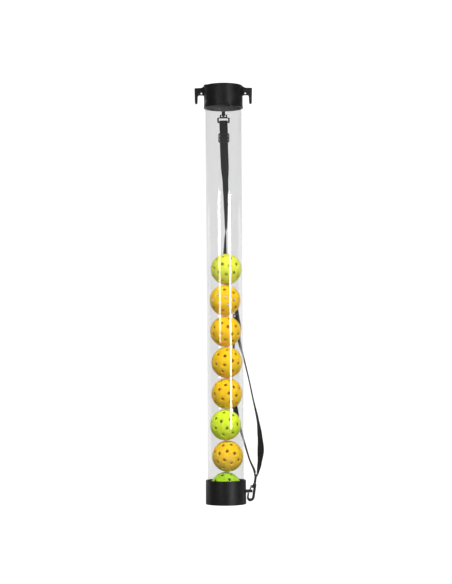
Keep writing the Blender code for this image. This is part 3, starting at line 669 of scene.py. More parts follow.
@dataclass(frozen=True)
class BallPlastic(Finish):
    """Hollow ball shell: satin plastic with a weld line round its middle and light scuffs."""

    def build(self, effects: SharedEffects) -> Material:
        """Build the material from the shared effects."""
        material, sheet, shader = self.start()
        grain = sheet.group(effects.grain, {"Scale": 700.0, "Slow scale": 48.0})
        scuffs = sheet.group(effects.scuffs, {"Scale": 150.0, "Amount": 0.7})
        lift = sheet.add("ShaderNodeAttribute", attribute_name="weld").outputs["Fac"]
        line = sheet.remap(sheet.math("ABSOLUTE", lift), 0.0007, 0.0002)
        deeper = tuple(channel * 0.9 for channel in self.colour)
        tone = sheet.blend(grain.outputs["Tone"], (*deeper, 1.0), (*self.colour, 1.0))
        paler = tuple(min(1.0, channel * 0.8 + 0.04) for channel in self.colour)
        mark = sheet.math("MULTIPLY", scuffs.outputs["Mask"], 0.35)
        marked = sheet.blend(mark, tone, (*paler, 1.0))
        seam = sheet.math("MULTIPLY", line, 0.25)
        sheet.feed(shader.inputs["Base Color"], sheet.blend(seam, marked, (*deeper, 1.0)))
        rough = sheet.remap(grain.outputs["Tone"], 0.0, 1.0, self.roughness, self.roughness + 0.08)
        sheet.feed(shader.inputs["Roughness"], rough)
        height = sheet.math("ADD", sheet.math("MULTIPLY", grain.outputs["Height"], 0.2), line)
        sheet.bump(shader, height, 0.5, 0.00012)
        sheet.settle(shader, {
            "Specular IOR Level": 0.16,
            "Subsurface Weight": 0.6,
            "Subsurface Radius": (0.004, 0.003, 0.0012),
            "Subsurface Scale": 1.0,
        })
        return material


@dataclass(frozen=True)
class WovenWebbing(Finish):
    """Polypropylene webbing: ribbed weave with a soft sheen."""

    # Colour of the rib crests; the step to it from the groove colour is painted shade.
    high_colour: Colour = (0.015, 0.015, 0.0156)

    def build(self, effects: SharedEffects) -> Material:
        """Build the material from the shared effects."""
        material, sheet, shader = self.start()
        weave = sheet.group(effects.weave)
        grain = sheet.group(effects.grain, {"Slow scale": 70.0})
        patches = sheet.remap(grain.outputs["Tone"], 0.0, 1.0, 0.75, 1.0)
        # Painted shade of the weave: crests lighter and grooves darker by rib height, with real slow patches
        # of tone.
        lit = sheet.math("MULTIPLY", weave.outputs["Shade"], patches)
        tone = sheet.blend(lit, (*self.colour, 1.0), (*self.high_colour, 1.0))
        sheet.feed(shader.inputs["Base Color"], tone)
        sheet.bump(shader, weave.outputs["Height"], 0.8, 0.0003)
        rough = sheet.remap(weave.outputs["Shade"], 0.0, 1.0, self.roughness, self.roughness - 0.2)
        sheet.feed(shader.inputs["Roughness"], rough)
        sheet.settle(shader, {"Specular IOR Level": 0.22, "Sheen Weight": 0.06, "Sheen Roughness": 0.4})
        return material


@dataclass(frozen=True)
class PinSteel(Finish):
    """Turned steel of the gate pins."""

    def build(self, effects: SharedEffects) -> Material:
        """Build the material from the shared effects."""
        material, sheet, shader = self.start()
        grain = sheet.group(effects.grain, {"Scale": 2600.0})
        low, high = self.roughness - 0.06, self.roughness + 0.1
        sheet.feed(shader.inputs["Roughness"], sheet.remap(grain.outputs["Tone"], 0.0, 1.0, low, high))
        sheet.bump(shader, grain.outputs["Height"], 0.3, 0.00001)
        shader.inputs["Metallic"].default_value = 1.0
        return material


class Paint:
    """All finishes of the object."""

    def __init__(self) -> None:
        """Build the shared effects and every material."""
        effects = SharedEffects()
        self.clear = ClearPlastic("Clear tube wall", (0.045, 0.045, 0.046), 0.07).build(effects)
        self.black = MouldedPlastic(
            "Collar moulding", (0.0036, 0.0036, 0.0038), 0.42, specular=0.36, grain_depth=0.00003
        ).build(effects)
        self.cap = MouldedPlastic(
            "Cap moulding", (0.0042, 0.0044, 0.0045), 0.42, specular=0.36, grain_depth=0.00003
        ).build(effects)
        # Painted light: a light grey that stands in for the light and reflections seen on the inside of the
        # black cap's skirt.
        self.lining = MouldedPlastic(
            "Skirt inside painted light", (0.21, 0.21, 0.204), 0.45, grain_depth=0.00003, wear=0.0
        ).build(effects)
        self.clip = MouldedPlastic(
            "Clip plastic", (0.012, 0.012, 0.0125), 0.34, grain_depth=0.00002, worn_colour=(0.09, 0.09, 0.092)
        ).build(effects)
        self.ring = MouldedPlastic(
            "Soft ring", (0.020, 0.020, 0.021), 0.55, grain_scale=900.0, specular=0.35, wear=0.2
        ).build(effects)
        self.webbing = WovenWebbing("Woven webbing", (0.004, 0.004, 0.0042), 0.85).build(effects)
        self.steel = PinSteel("Pin steel", (0.42, 0.42, 0.43), 0.28).build(effects)
        self.balls = {
            shade.name: BallPlastic(shade.title, shade.colour, 0.34).build(effects) for shade in BALL_SHADES
        }


@dataclass(frozen=True)
class BallShade:
    """One moulded colour of ball."""

    name: str
    title: str
    colour: Colour
    slot: Slot


BALL_SHADES = (
    BallShade("green", "Green ball shell", (0.40, 0.66, 0.008), Slot.GREEN),
    BallShade("amber", "Amber ball shell", (0.95, 0.58, 0.003), Slot.ORANGE),
    BallShade("lime", "Lime ball shell", (0.70, 0.88, 0.025), Slot.LIME),
    BallShade("pale_lime", "Pale lime ball shell", (0.74, 0.78, 0.06), Slot.LIME),
)


# Sizes that several sub-assemblies share


@dataclass(frozen=True)
class TubeSizes:
    """Sizes of the tube and of what is fitted to it, about the tube's own axis."""

    radius: float = 0.04445
    wall: float = 0.0022
    gap: float = 0.0003
    foot: float = 0.0205
    length: float = 0.9755
    collar_radius: float = 0.047996
    cap_radius: float = 0.046496
    socket_radius: float = 0.044846
    cap_top: float = 0.9993
    lug_standoff: float = 0.0131
    cap_lug_drop: float = 0.0244
    collar_lug_height: float = 0.0305
    finger_tip_radius: float = 0.03475
    root_depth: float = 0.0012

    @property
    def top(self) -> float:
        """Height of the tube's upper rim."""
        return self.foot + self.length

    @property
    def bore(self) -> float:
        """Radius inside the tube."""
        return self.radius - self.wall


SIZES = TubeSizes()


def mount_piece(piece: Piece, body: Body, slot: Slot, material: Material, *nodes: str) -> Piece:
    """Give a piece its material, let it ride on its body, and hide the nodes it stands for.

    Args:
        piece: The piece, in place.
        body: The body it rides on.
        slot: The record's slot; not used.
        material: Its finish.
        nodes: CAD nodes that it replaces.

    Returns:
        The piece.
    """
    piece.data.materials.clear()
    piece.data.materials.append(material)
    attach(piece, body.value)
    if nodes:
        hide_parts(*nodes)
    return piece


@dataclass
class StrapLug:
    """A tab with an eye that a swivel clip hooks on to, grown from a round wall."""

    wall_radius: float
    height: float
    turn: float
    standoff: float = SIZES.lug_standoff
    bar: float = 0.0040
    thickness: float = 0.0060
    width: float = 0.0180
    eye_length: float = 0.0082
    eye_width: float = 0.0102
    gusset: float = 0.0058

    def _place(self) -> Matrix:
        """Matrix from the lug's frame to the tube's axis."""
        return Matrix.Translation((0.0, 0.0, self.height)) @ Matrix.Rotation(math.radians(self.turn), 4, "Z")

    def tab(self) -> Piece:
        """The tab as a closed shape with rounded rims."""
        reach = self.wall_radius + self.standoff + self.bar / 2
        half = self.width / 2
        root = self.wall_radius - SIZES.root_depth
        corner = self.bar
        outline = [(root, -half - self.gusset / 2), (root + self.gusset * 0.4, -half - self.gusset * 0.2)]
        outline += [(root + self.gusset, -half)]
        outline += arc((reach - corner, -half + corner), corner, -90.0, 0.0, 8)
        outline += arc((reach - corner, half - corner), corner, 0.0, 90.0, 8)
        outline += [(root + self.gusset, half), (root + self.gusset * 0.4, half + self.gusset * 0.2)]
        outline += [(root, half + self.gusset / 2)]
        bm = extruded(outline, self.thickness / 2, flat)
        round_rims(bm, 2, self.bar / 3.4, 4, root + 1e-5)
        return new_piece("lug_tab", bm, self._place())

    def eye(self) -> Piece:
        """The eye's hole, as a closed shape with flared ends."""
        outer = self.wall_radius + self.standoff - self.bar / 2
        inner = outer - self.eye_length
        outline = rounded_frame(self.eye_width / 2, inner, outer, self.eye_length / 3, 6)
        outline = [(b, a) for a, b in outline]
        return new_piece("lug_eye", extruded(outline, self.thickness, flat), self._place())


@dataclass
class ClearTube:
    """The clear extruded tube, with its cut ends lightly broken."""

    break_edge: float = 0.0004

    def build(self, paint: Paint) -> Piece:
        """Build the tube's wall."""
        b = self.break_edge
        profile = [(SIZES.radius - b, SIZES.foot), (SIZES.radius, SIZES.foot + b)]
        steps = 24
        for k in range(1, steps):
            profile.append((SIZES.radius, SIZES.foot + b + (SIZES.length - 2 * b) * k / steps))
        profile += [(SIZES.radius, SIZES.top - b), (SIZES.radius - b, SIZES.top)]
        profile += [(SIZES.bore + b, SIZES.top), (SIZES.bore, SIZES.top - b)]
        for k in range(steps - 1, 0, -1):
            profile.append((SIZES.bore, SIZES.foot + b + (SIZES.length - 2 * b) * k / steps))
        profile += [(SIZES.bore, SIZES.foot + b), (SIZES.bore + b, SIZES.foot)]
        piece = new_piece("clear_tube", turned(profile, 112), Matrix(), 50.0)
        return mount_piece(piece, Body.TUBE, Slot.CLEAR, paint.clear, "tube")


@dataclass
class TopCap:
    """The closed cap: roof, skirt with a bead, two drop-leg hangers and the strap's lug."""

    height: float = 0.0538
    chamfer: float = 0.0009
    bead_height: float = 0.0032
    bead_standoff: float = 0.0008
    roof: float = 0.0030
    reach: float = 0.069196
    thickness: float = 0.0085
    arm_drop: float = 0.0053
    arm_height: float = 0.0169
    leg_width: float = 0.0080
    tip_width: float = 0.0066
    drop: float = 0.0435
    gusset: float = 0.0058
    eye_diameter: float = 0.0045
    eye_standoff: float = 0.0062
    saddle_spread: float = 32.0
    saddle_standoff: float = 0.0012
    saddle_lip: float = 0.0012

    def _shell(self) -> Piece:
        """Roof and skirt, open below."""
        top, foot = SIZES.cap_top, SIZES.cap_top - self.height
        bead = SIZES.cap_radius + self.bead_standoff
        ceiling = top - self.roof
        profile = [(SIZES.cap_radius - 0.012, top)]
        centre = (SIZES.cap_radius - self.chamfer, top - self.chamfer)
        profile += arc(centre, self.chamfer, 90.0, 0.0, 5)
        profile += [(SIZES.cap_radius, foot + self.bead_height + self.bead_standoff * 1.4)]
        profile += arc((bead - 0.0008, foot + self.bead_height - 0.0008), 0.0008, 60.0, 0.0, 4)
        profile += arc((bead - 0.0008, foot + 0.0008), 0.0008, 0.0, -90.0, 4)
        profile += [(SIZES.socket_radius + 0.0004, foot), (SIZES.socket_radius, foot + 0.0006)]
        profile += [(SIZES.socket_radius, ceiling - 0.0005), (SIZES.socket_radius - 0.0005, ceiling)]
        return new_piece("cap_shell", turned(profile, 112, closed=False), Matrix())

    def _hanger_outline(self) -> list[Pair]:
        """Arm, gusset and drop leg of the right-hand hanger, in the XZ plane."""
        root = SIZES.cap_radius - SIZES.root_depth
        arm_top = SIZES.cap_top - self.arm_drop
        arm_foot = arm_top - self.arm_height
        leg_inner = self.reach - self.leg_width
        tip_centre = SIZES.cap_top - self.drop + self.tip_width / 2
        corner = self.leg_width / 5
        fillet = self.leg_width / 4
        middle = self.reach - self.leg_width / 2
        high = SIZES.cap_top - self.chamfer
        outline = [(root, high), (SIZES.cap_radius, high), (SIZES.cap_radius + self.gusset, arm_top)]
        outline += arc((self.reach - corner, arm_top - corner), corner, 90.0, 0.0, 6)
        outline += arc((middle, tip_centre), self.tip_width / 2, 0.0, -180.0, 10)
        outline += arc((leg_inner - fillet, arm_foot - fillet), fillet, 0.0, 90.0, 6)
        outline += arc((SIZES.cap_radius + fillet, arm_foot - fillet), fillet, 90.0, 180.0, 6)
        outline += [(root, arm_foot - fillet)]
        return outline

    def _hanger(self, side: float) -> Piece:
        """One hanger, with its front and back rims rounded."""

        def place(a: float, b: float, depth: float) -> Point:
            """Place the outline on this hanger's side."""
            return (side * a, depth, b)

        bm = extruded(self._hanger_outline(), self.thickness / 2, place)
        round_rims(bm, 1, 0.0007, 3, SIZES.cap_radius - 0.0011)
        return new_piece("hanger", bm, Matrix())

    def _saddle(self, side: float) -> Piece:
        """The raised pad that carries a hanger, bent round the skirt."""
        high = SIZES.cap_top + self.saddle_lip
        low = SIZES.cap_top - self.arm_drop - self.arm_height - 0.0012
        inner, outer = SIZES.cap_radius - SIZES.root_depth, SIZES.cap_radius + self.saddle_standoff
        bm = bmesh.new()
        columns = []
        edge = 0.0005
        steps = 18
        for k in range(steps + 1):
            angle = math.radians(self.saddle_spread) * (2 * k / steps - 1)
            fade = min(1.0, 1.4 * math.sqrt(max(0.0, 1 - (2 * k / steps - 1) ** 2)))
            reach = inner + (outer - inner) * fade
            x, y = side * math.cos(angle), math.sin(angle)
            top = high - self.saddle_lip * (1 - fade)
            section = ((inner, low), (reach, low), (reach, top - edge), (reach - edge, top), (inner, top))
            columns.append([bm.verts.new((x * out, y * out, z)) for out, z in section])
        skin(bm, columns)
        return new_piece("saddle", bm, Matrix())

    def _line(self, piece: Piece, paint: Paint) -> None:
        """Paint the skirt's inside light grey: painted light and reflection on the black moulding."""
        piece.data.materials.append(paint.lining)
        limit = SIZES.socket_radius + 0.0004
        for face in piece.data.polygons:
            place = face.center - Vector((AXIS.x, AXIS.y, 0.0))
            if math.hypot(place.x, place.y) < limit and place.z < SIZES.cap_top - self.roof + 0.0001:
                face.material_index = 1

    def _hanger_eye(self, side: float) -> Piece:
        """The small round hole through a hanger's arm."""
        height = SIZES.cap_top - self.arm_drop - self.arm_height * 0.75
        centre = (side * (SIZES.cap_radius + self.eye_standoff), height)
        outline = arc(centre, self.eye_diameter / 2, 0.0, 348.0, 29)
        return new_piece("hanger_eye", extruded(outline, self.thickness, upright), Matrix())

    def build(self, paint: Paint) -> Piece:
        """Build the whole cap as one moulding."""
        lug = StrapLug(SIZES.cap_radius, SIZES.cap_top - SIZES.cap_lug_drop, 90.0)
        piece = self._shell()
        grown = [self._saddle(1.0), self._saddle(-1.0), self._hanger(1.0), self._hanger(-1.0), lug.tab()]
        cut_or_join(piece, grown, "UNION")
        cut_or_join(piece, [self._hanger_eye(1.0), self._hanger_eye(-1.0), lug.eye()], "DIFFERENCE")
        crisp(piece.data, 32.0)
        piece.name = "hanger_cap"
        mount_piece(piece, Body.CAP, Slot.BLACK, paint.cap, "top_cap")
        # The skirt's inside gets a light grey of painted light.
        self._line(piece, paint)
        return piece


@dataclass
class MouthCollar:
    """The collar round the tube's foot, with its lug and the soft ring inside it."""

    height: float = 0.0570
    lead: float = 0.0012
    mouth: float = 0.0400
    shoulder: float = 0.0169
    ring_thickness: float = 0.0030
    rim_width: float = 0.0035
    finger_thickness: float = 0.0013
    finger_rise: float = 0.0052
    fingers: int = 12
    slot_width: float = 0.0028

    def _collar(self) -> Piece:
        """The collar with its lug and eye."""
        r, lead = SIZES.collar_radius, self.lead
        profile = arc((r - lead, lead), lead, -90.0, 0.0, 4)
        profile += arc((r - lead / 2, self.height - lead / 2), lead / 2, 0.0, 90.0, 4)
        profile += [(SIZES.socket_radius + 0.0004, self.height), (SIZES.socket_radius, self.height - 0.0005)]
        profile += [(SIZES.socket_radius, self.shoulder), (self.mouth, self.shoulder)]
        profile += [(self.mouth, 2 * lead), (self.mouth + 0.7 * lead, 0.6 * lead)]
        profile += [(self.mouth + 2 * lead, 0.0)]
        piece = new_piece("mouth_collar", turned(profile, 112), Matrix())
        lug = StrapLug(r, SIZES.collar_lug_height, 0.0)
        cut_or_join(piece, [lug.tab()], "UNION")
        cut_or_join(piece, [lug.eye()], "DIFFERENCE")
        crisp(piece.data, 32.0)
        return piece

    def _ring(self) -> Piece:
        """The soft ring: a rim and slotted fingers that slope up to a mouth a little under a ball."""
        outer = SIZES.radius - SIZES.gap
        inner = outer - self.rim_width
        base = self.shoulder + SIZES.gap
        top = base + self.ring_thickness
        tip_height = top + self.finger_rise
        tip = SIZES.finger_tip_radius
        thick = self.finger_thickness
        profile = [(outer, base), (outer, top), (inner, top)]
        profile += [((inner + tip) / 2 + 0.0003, (top + tip_height) / 2 + 0.0003)]
        profile += arc((tip + thick / 2, tip_height - thick / 2), thick / 2, 60.0, 240.0, 6)
        profile += [((inner - thick + tip) / 2 + 0.0003, (base + tip_height - thick) / 2 + 0.0002)]
        profile += [(inner - thick, base)]
        piece = new_piece("soft_ring", turned(profile, 120), Matrix())
        slots = []
        for k in range(self.fingers):
            angle = math.tau * (k + 0.5) / self.fingers
            half = self.slot_width / 2
            outline = [(tip - 0.004, -half), (inner - thick - half, -half)]
            outline += arc((inner - thick - half, 0.0), half, -60.0, 60.0, 6)
            outline += [(inner - thick - half, half), (tip - 0.004, half)]
            bm = extruded(outline, 0.02, flat)
            turn = Matrix.Rotation(angle, 4, "Z") @ Matrix.Translation((0.0, 0.0, top))
            slots.append(new_piece("finger_slot", bm, turn))
        cut_or_join(piece, slots, "DIFFERENCE")
        crisp(piece.data, 35.0)
        return piece

    def build(self, paint: Paint) -> list[Piece]:
        """Build the collar and the ring."""
        collar = mount_piece(self._collar(), Body.TUBE, Slot.BLACK, paint.black, "bottom_collar")
        ring = mount_piece(self._ring(), Body.TUBE, Slot.RUBBER, paint.ring, "retaining_ring")
        return [collar, ring]


@dataclass
class HollowBall:
    """A hollow ball with round holes, as one mesh about its own centre."""

    radius: float = 0.0370
    wall: float = 0.0020
    hole: float = 0.0078
    rim_points: int = 18
    rows: tuple[tuple[int, float], ...] = ((10, 13.0), (7, 42.0), (3, 70.0))

    def hole_directions(self) -> list[Vector]:
        """Forty hole centres: matching rows in both halves, the lower half turned by half a step."""
        directions = []
        for half in (1.0, -1.0):
            for row, (count, latitude) in enumerate(self.rows):
                for k in range(count):
                    shift = 0.5 if (half < 0) != (row % 2 == 1) else 0.0
                    turn = math.tau * (k + shift) / count
                    lift = math.radians(latitude) * half
                    level = math.cos(lift)
                    place = (level * math.cos(turn), level * math.sin(turn), math.sin(lift))
                    directions.append(Vector(place))
        return directions

    def _rim(self, direction: Vector, spread: float) -> list[Vector]:
        """Unit vectors round a hole, an angle away from its centre."""
        side = direction.orthogonal().normalized()
        other = direction.cross(side)
        rim = []
        for k in range(self.rim_points):
            angle = math.tau * k / self.rim_points
            offset = side * math.cos(angle) + other * math.sin(angle)
            rim.append(direction * math.cos(spread) + offset * math.sin(spread))
        return rim

    def _fill(self, directions: list[Vector], clear: float, count: int = 420) -> list[Vector]:
        """Evenly spread unit vectors that keep clear of the holes."""
        points = []
        for k in range(count):
            z = 1 - 2 * (k + 0.5) / count
            turn = math.pi * (1 + math.sqrt(5)) * k
            reach = math.sqrt(1 - z * z)
            point = Vector((reach * math.cos(turn), reach * math.sin(turn), z))
            if all(point.angle(direction) > clear for direction in directions):
                points.append(point)
        return points

    def mesh(self) -> Faces:
        """Outer skin, inner skin and the rounded hole walls between them.

        Returns:
            The ball, with a float layer "weld" that holds the height above its middle.
        """
        bm = bmesh.new()
        directions = self.hole_directions()
        inner_edge = math.asin(self.hole / 2 / self.radius)
        outer_edge = inner_edge + 0.0006 / self.radius
        rims, edges = [], []
        for direction in directions:
            rims.append([bm.verts.new(v) for v in self._rim(direction, inner_edge)])
            edges.append([bm.verts.new(v) for v in self._rim(direction, outer_edge)])
        for point in self._fill(directions, outer_edge + 0.035):
            bm.verts.new(point)
        bmesh.ops.convex_hull(bm, input=bm.verts, use_existing_faces=False)
        owner = {vert: i for i, rim in enumerate(rims) for vert in rim}
        plugs = [f for f in bm.faces if all(v in owner for v in f.verts)]
        plugs = [f for f in plugs if len({owner[v] for v in f.verts}) == 1]
        bmesh.ops.delete(bm, geom=plugs, context="FACES_ONLY")
        outer_verts = list(bm.verts)
        copy = bmesh.ops.duplicate(bm, geom=outer_verts + list(bm.edges) + list(bm.faces))
        twins = dict(copy["vert_map"].items())
        lip = 1 - 0.00035 / self.radius
        inside = (self.radius - self.wall) / self.radius
        for vert in outer_verts:
            twins[vert].co = vert.co * (self.radius * inside)
        for vert in outer_verts:
            vert.co = vert.co * self.radius * (lip if vert in owner else 1.0)
        for rim in rims:
            for k in range(self.rim_points):
                after = (k + 1) % self.rim_points
                bm.faces.new((rim[k], rim[after], twins[rim[after]], twins[rim[k]]))
        loose = [edge for edge in bm.edges if not edge.link_faces]
        bmesh.ops.delete(bm, geom=loose, context="EDGES")
        layer = bm.verts.layers.float.new("weld")
        for vert in bm.verts:
            vert[layer] = vert.co.z if vert.co.length > self.radius - self.wall / 2 else 1.0
        return bm


@dataclass(frozen=True)
class BallPlace:
    """Where one ball rests: lean as a share of the side play, its direction, turn, spin and colour."""

    lean: float
    direction: float
    turn: float
    spin: float
    shade: str


@dataclass
class BallStack:
    """Eight balls, each resting on the one below and leaning on the tube's wall."""

    ball: HollowBall = field(default_factory=HollowBall)
    tip_height: float = 0.0254
    places: tuple[BallPlace, ...] = (
        BallPlace(0.0, 0.0, 206.0, -8.0, "green"),
        BallPlace(0.96, 8.0, 213.0, 36.0, "amber"),
        BallPlace(0.25, -80.0, 95.0, -134.0, "lime"),
        BallPlace(0.85, 14.0, 211.0, -96.0, "amber"),
        BallPlace(0.90, -10.0, 147.0, 20.0, "amber"),
        BallPlace(0.42, 35.0, 282.0, -4.0, "amber"),
        BallPlace(0.30, -50.0, 20.0, 0.0, "amber"),
        BallPlace(0.94, 6.0, 219.0, 76.0, "pale_lime"),
    )

    def centres(self) -> list[Vector]:
        """Centre of each ball, the lowest first."""
        gap, radius = SIZES.gap, self.ball.radius
        play = SIZES.bore * math.cos(math.pi / 48) - radius - gap
        seat = radius + gap
        height = self.tip_height + math.sqrt(seat**2 - SIZES.finger_tip_radius**2)
        centres: list[Vector] = []
        for place in self.places:
            angle = math.radians(place.direction)
            reach = play * place.lean
            centre = Vector((reach * math.cos(angle), reach * math.sin(angle), height))
            if centres:
                aside = (centre - centres[-1]).xy.length
                centre.z = centres[-1].z + math.sqrt((2 * radius + gap) ** 2 - aside**2)
            centres.append(centre)
        return centres

    def build(self, paint: Paint) -> list[Piece]:
        """Build every ball in its colour."""
        slots = {shade.name: shade.slot for shade in BALL_SHADES}
        model = self.ball.mesh()
        pieces = []
        for k, (centre, place) in enumerate(zip(self.centres(), self.places)):
            t = math.radians(place.turn)
            spin = Matrix.Rotation(math.radians(place.spin) + t, 4, "Z")
            turn = spin @ Matrix.Rotation(t * 0.8, 4, "Y") @ Matrix.Rotation(t * 0.5, 4, "X")
            piece = new_piece(f"court_ball_{k + 1}", model.copy(), Matrix.Translation(centre) @ turn, 60.0)
            pieces.append(
                mount_piece(piece, Body.BALLS, slots[place.shade], paint.balls[place.shade], f"ball_{k + 1}")
            )
        model.free()
        return pieces


@dataclass
class SwivelClip:
    """A sprung snap hook on a swivel, with its webbing loop.

    In the clip's frame x is u, across the hook, and z is minus v, which runs from the barrel to the bow.
    """

    prefix: str
    bar_place: Point
    turn: Matrix
    bar_u: float
    bar_v: float
    hook: Body
    gate: Body
    loop: Body
    length: float = 0.0375
    spine_u: float = 0.0012
    spine_radius: float = 0.0032
    nose_radius: float = 0.0022
    inner_width: float = 0.0078
    bow_thickness: float = 0.0072
    nose_start: float = 0.0178
    barrel_radius: float = 0.0044
    barrel_length: float = 0.0060
    post_radius: float = 0.0015
    head_radius: float = 0.0032
    head_height: float = 0.0030
    ear_width: float = 0.0064
    pivot_u: float = -0.0068
    pivot_v: float = 0.0015
    knuckle_radius: float = 0.0021
    knuckle_width: float = 0.0026
    gate_thickness: float = 0.0026
    pin_radius: float = 0.0008
    loop_width: float = 0.0305
    loop_height: float = 0.0126
    loop_rim: float = 0.0030
    loop_side: float = 0.0040
    loop_thickness: float = 0.0050
    yoke_height: float = 0.0090
    yoke_base: float = 0.0184
    yoke_neck: float = 0.0090
    neck_height: float = 0.0033
    window_width: float = 0.0118
    window_height: float = 0.0040

    @property
    def bow_u(self) -> float:
        """Middle of the bow, across the hook."""
        return self.spine_u - self.spine_radius - self.inner_width / 2

    @property
    def bow_v(self) -> float:
        """Middle of the bow, along the hook."""
        return self.length - self.bow_thickness - self.inner_width / 2

    @property
    def nose_u(self) -> float:
        """Middle of the nose, across the hook."""
        return self.spine_u - self.spine_radius - self.inner_width - self.nose_radius

    def place(self) -> Matrix:
        """Matrix from the clip's frame to the tube's axis."""
        bar = Matrix.Translation((-self.bar_u, 0.0, self.bar_v))
        return Matrix.Translation(self.bar_place) @ self.turn @ bar

    def _hook(self) -> Piece:
        """Spine, bow, nose, shoulder, barrel and headed post."""
        points = [Vector((self.spine_u, 0.0, self.barrel_length * 0.2))]
        points.append(Vector((self.spine_u, 0.0, -self.bow_v * 0.5)))
        radii = [self.spine_radius, self.spine_radius]
        near, far = self.spine_u - self.bow_u, self.bow_u - self.nose_u
        reach = self.inner_width / 2 + self.bow_thickness / 2
        steps = 24
        for k in range(steps + 1):
            share = k / steps
            angle = math.pi * share
            side = near + (far - near) * share
            across, along = side * math.cos(angle), reach * math.sin(angle)
            points.append(Vector((self.bow_u + across, 0.0, -self.bow_v - along)))
            radius = self.spine_radius + (self.nose_radius - self.spine_radius) * share
            radii.append(radius + (self.bow_thickness / 2 - radius) * math.sin(angle) ** 2)
        points.append(Vector((self.nose_u, 0.0, -self.nose_start - 0.0006)))
        radii.append(self.nose_radius)
        points.append(Vector((self.nose_u, 0.0, -self.nose_start)))
        radii.append(self.nose_radius * 0.8)
        body = new_piece("hook_bar", swept(points, radii), self.place())
        cut_or_join(body, [self._shoulder(), self._barrel()], "UNION")
        cut_or_join(body, [self._gate_slot(), self._pin_hole(self.place())], "DIFFERENCE")
        crisp(body.data, 38.0)
        return body

    def _shoulder(self) -> Piece:
        """The shoulder that reaches from the barrel to the gate's pivot."""
        ear = self.knuckle_radius + 2 * SIZES.gap
        outline = [(self.barrel_radius, 0.0015), (self.barrel_radius, -0.0040), (self.spine_u, -0.0062)]
        outline += arc((self.pivot_u, -self.pivot_v), ear, 285.0, 110.0, 16)
        outline += [(-self.barrel_radius, 0.0015)]
        bm = extruded(outline, self.ear_width / 2, upright)
        round_rims(bm, 1, 0.0006, 3)
        return new_piece("shoulder", bm, self.place())

    def _barrel(self) -> Piece:
        """The round barrel with a groove, and the post that the loop turns on."""
        r, length = self.barrel_radius, self.barrel_length
        head = length + SIZES.gap + self.neck_height + SIZES.gap
        profile = [(r * 0.82, -0.0012), (r * 0.96, -0.0006), (r, 0.0002), (r, length * 0.52)]
        profile += [(r * 0.93, length * 0.58), (r * 0.93, length * 0.70), (r, length * 0.76)]
        profile += [(r, length - 0.0009), (r * 0.95, length - 0.0003), (r * 0.84, length)]
        profile += [(self.post_radius, length), (self.post_radius, head), (self.head_radius, head)]
        profile += [(self.head_radius, head + self.head_height * 0.6)]
        profile += [(self.head_radius * 0.7, head + self.head_height)]
        return new_piece("barrel", turned(profile, 40, closed=False), self.place())

    def _gate_slot(self) -> Piece:
        """The slot between the ears that the gate's knuckle turns in."""
        half = self.knuckle_width / 2 + SIZES.gap
        reach = self.knuckle_radius + SIZES.gap
        left, right = self.pivot_u - 2 * reach, self.pivot_u + reach
        foot, top = -0.0100, reach - self.pivot_v
        outline = [(left, foot), (right, foot), (right, top), (left, top)]
        return new_piece("gate_slot", extruded(outline, half, upright), self.place())

    def _pin_hole(self, place: Matrix, centre: Pair | None = None) -> Piece:
        """The hole for the gate's pin."""
        centre = (self.pivot_u, -self.pivot_v) if centre is None else centre
        outline = arc(centre, self.pin_radius + SIZES.gap, 0.0, 340.0, 17)
        return new_piece("pin_hole", extruded(outline, self.ear_width, upright), place)

    def _gate(self) -> Piece:
        """The sprung tongue, from its knuckle to the nose."""
        place = self.place() @ Matrix.Translation((self.pivot_u, 0.0, -self.pivot_v))
        gap = SIZES.gap
        end = Vector((self.nose_u + gap - self.pivot_u, self.pivot_v - self.nose_start + 3 * gap))
        along = end.normalized()
        across = Vector((-along.y, along.x)) * self.gate_thickness / 2
        lean = math.degrees(math.atan2(along.y, along.x))
        outline = [tuple(end + across), tuple(along * self.knuckle_radius + across)]
        outline += arc((0.0, 0.0), self.knuckle_radius, lean + 50.0, lean + 310.0, 18)
        outline += [tuple(along * self.knuckle_radius - across), tuple(end - across)]
        bm = extruded(outline, self.knuckle_width / 2, upright)
        round_rims(bm, 1, 0.0003, 2)
        gate = new_piece("gate_tongue", bm, place)
        cut_or_join(gate, [self._pin_hole(place, (0.0, 0.0))], "DIFFERENCE")
        crisp(gate.data, 38.0)
        return gate

    def _loop(self) -> Piece:
        """Yoke and webbing loop, flat in the clip's YZ plane."""
        gap = SIZES.gap
        foot = self.barrel_length + gap
        loop_foot = foot + self.yoke_height
        loop_top = loop_foot + self.loop_height
        neck, base, half = self.yoke_neck / 2, self.yoke_base / 2, self.loop_width / 2
        corner = self.loop_rim * 0.8
        shoulder = loop_foot - self.yoke_height * 0.76
        outline = [(-neck, foot), (neck, foot), (neck, foot + self.neck_height / 2)]
        outline += [(base - 0.0008, shoulder - 0.0006), (base, shoulder + 0.0006), (base, loop_foot - 0.0006)]
        outline += [(base + 0.0006, loop_foot)]
        outline += arc((half - corner, loop_foot + corner), corner, -90.0, 0.0, 6)
        outline += arc((half - corner, loop_top - corner), corner, 0.0, 90.0, 6)
        outline += arc((-half + corner, loop_top - corner), corner, 90.0, 180.0, 6)
        outline += arc((-half + corner, loop_foot + corner), corner, 180.0, 270.0, 6)
        outline += [(-base - 0.0006, loop_foot), (-base, loop_foot - 0.0006), (-base, shoulder + 0.0006)]
        outline += [(-base + 0.0008, shoulder - 0.0006), (-neck, foot + self.neck_height / 2)]
        loop = new_piece("webbing_loop", extruded(outline, self.loop_thickness / 2, sideways), self.place())
        depth = self.loop_thickness
        low, high = loop_foot + self.loop_rim / 2, loop_top - self.loop_rim
        slot = rounded_frame(half - self.loop_side, low, high, 0.0009, 4)
        neck_top = foot + self.neck_height
        window = rounded_frame(self.window_width / 2, neck_top, neck_top + self.window_height, 0.0006, 3)
        bore = self.post_radius + gap
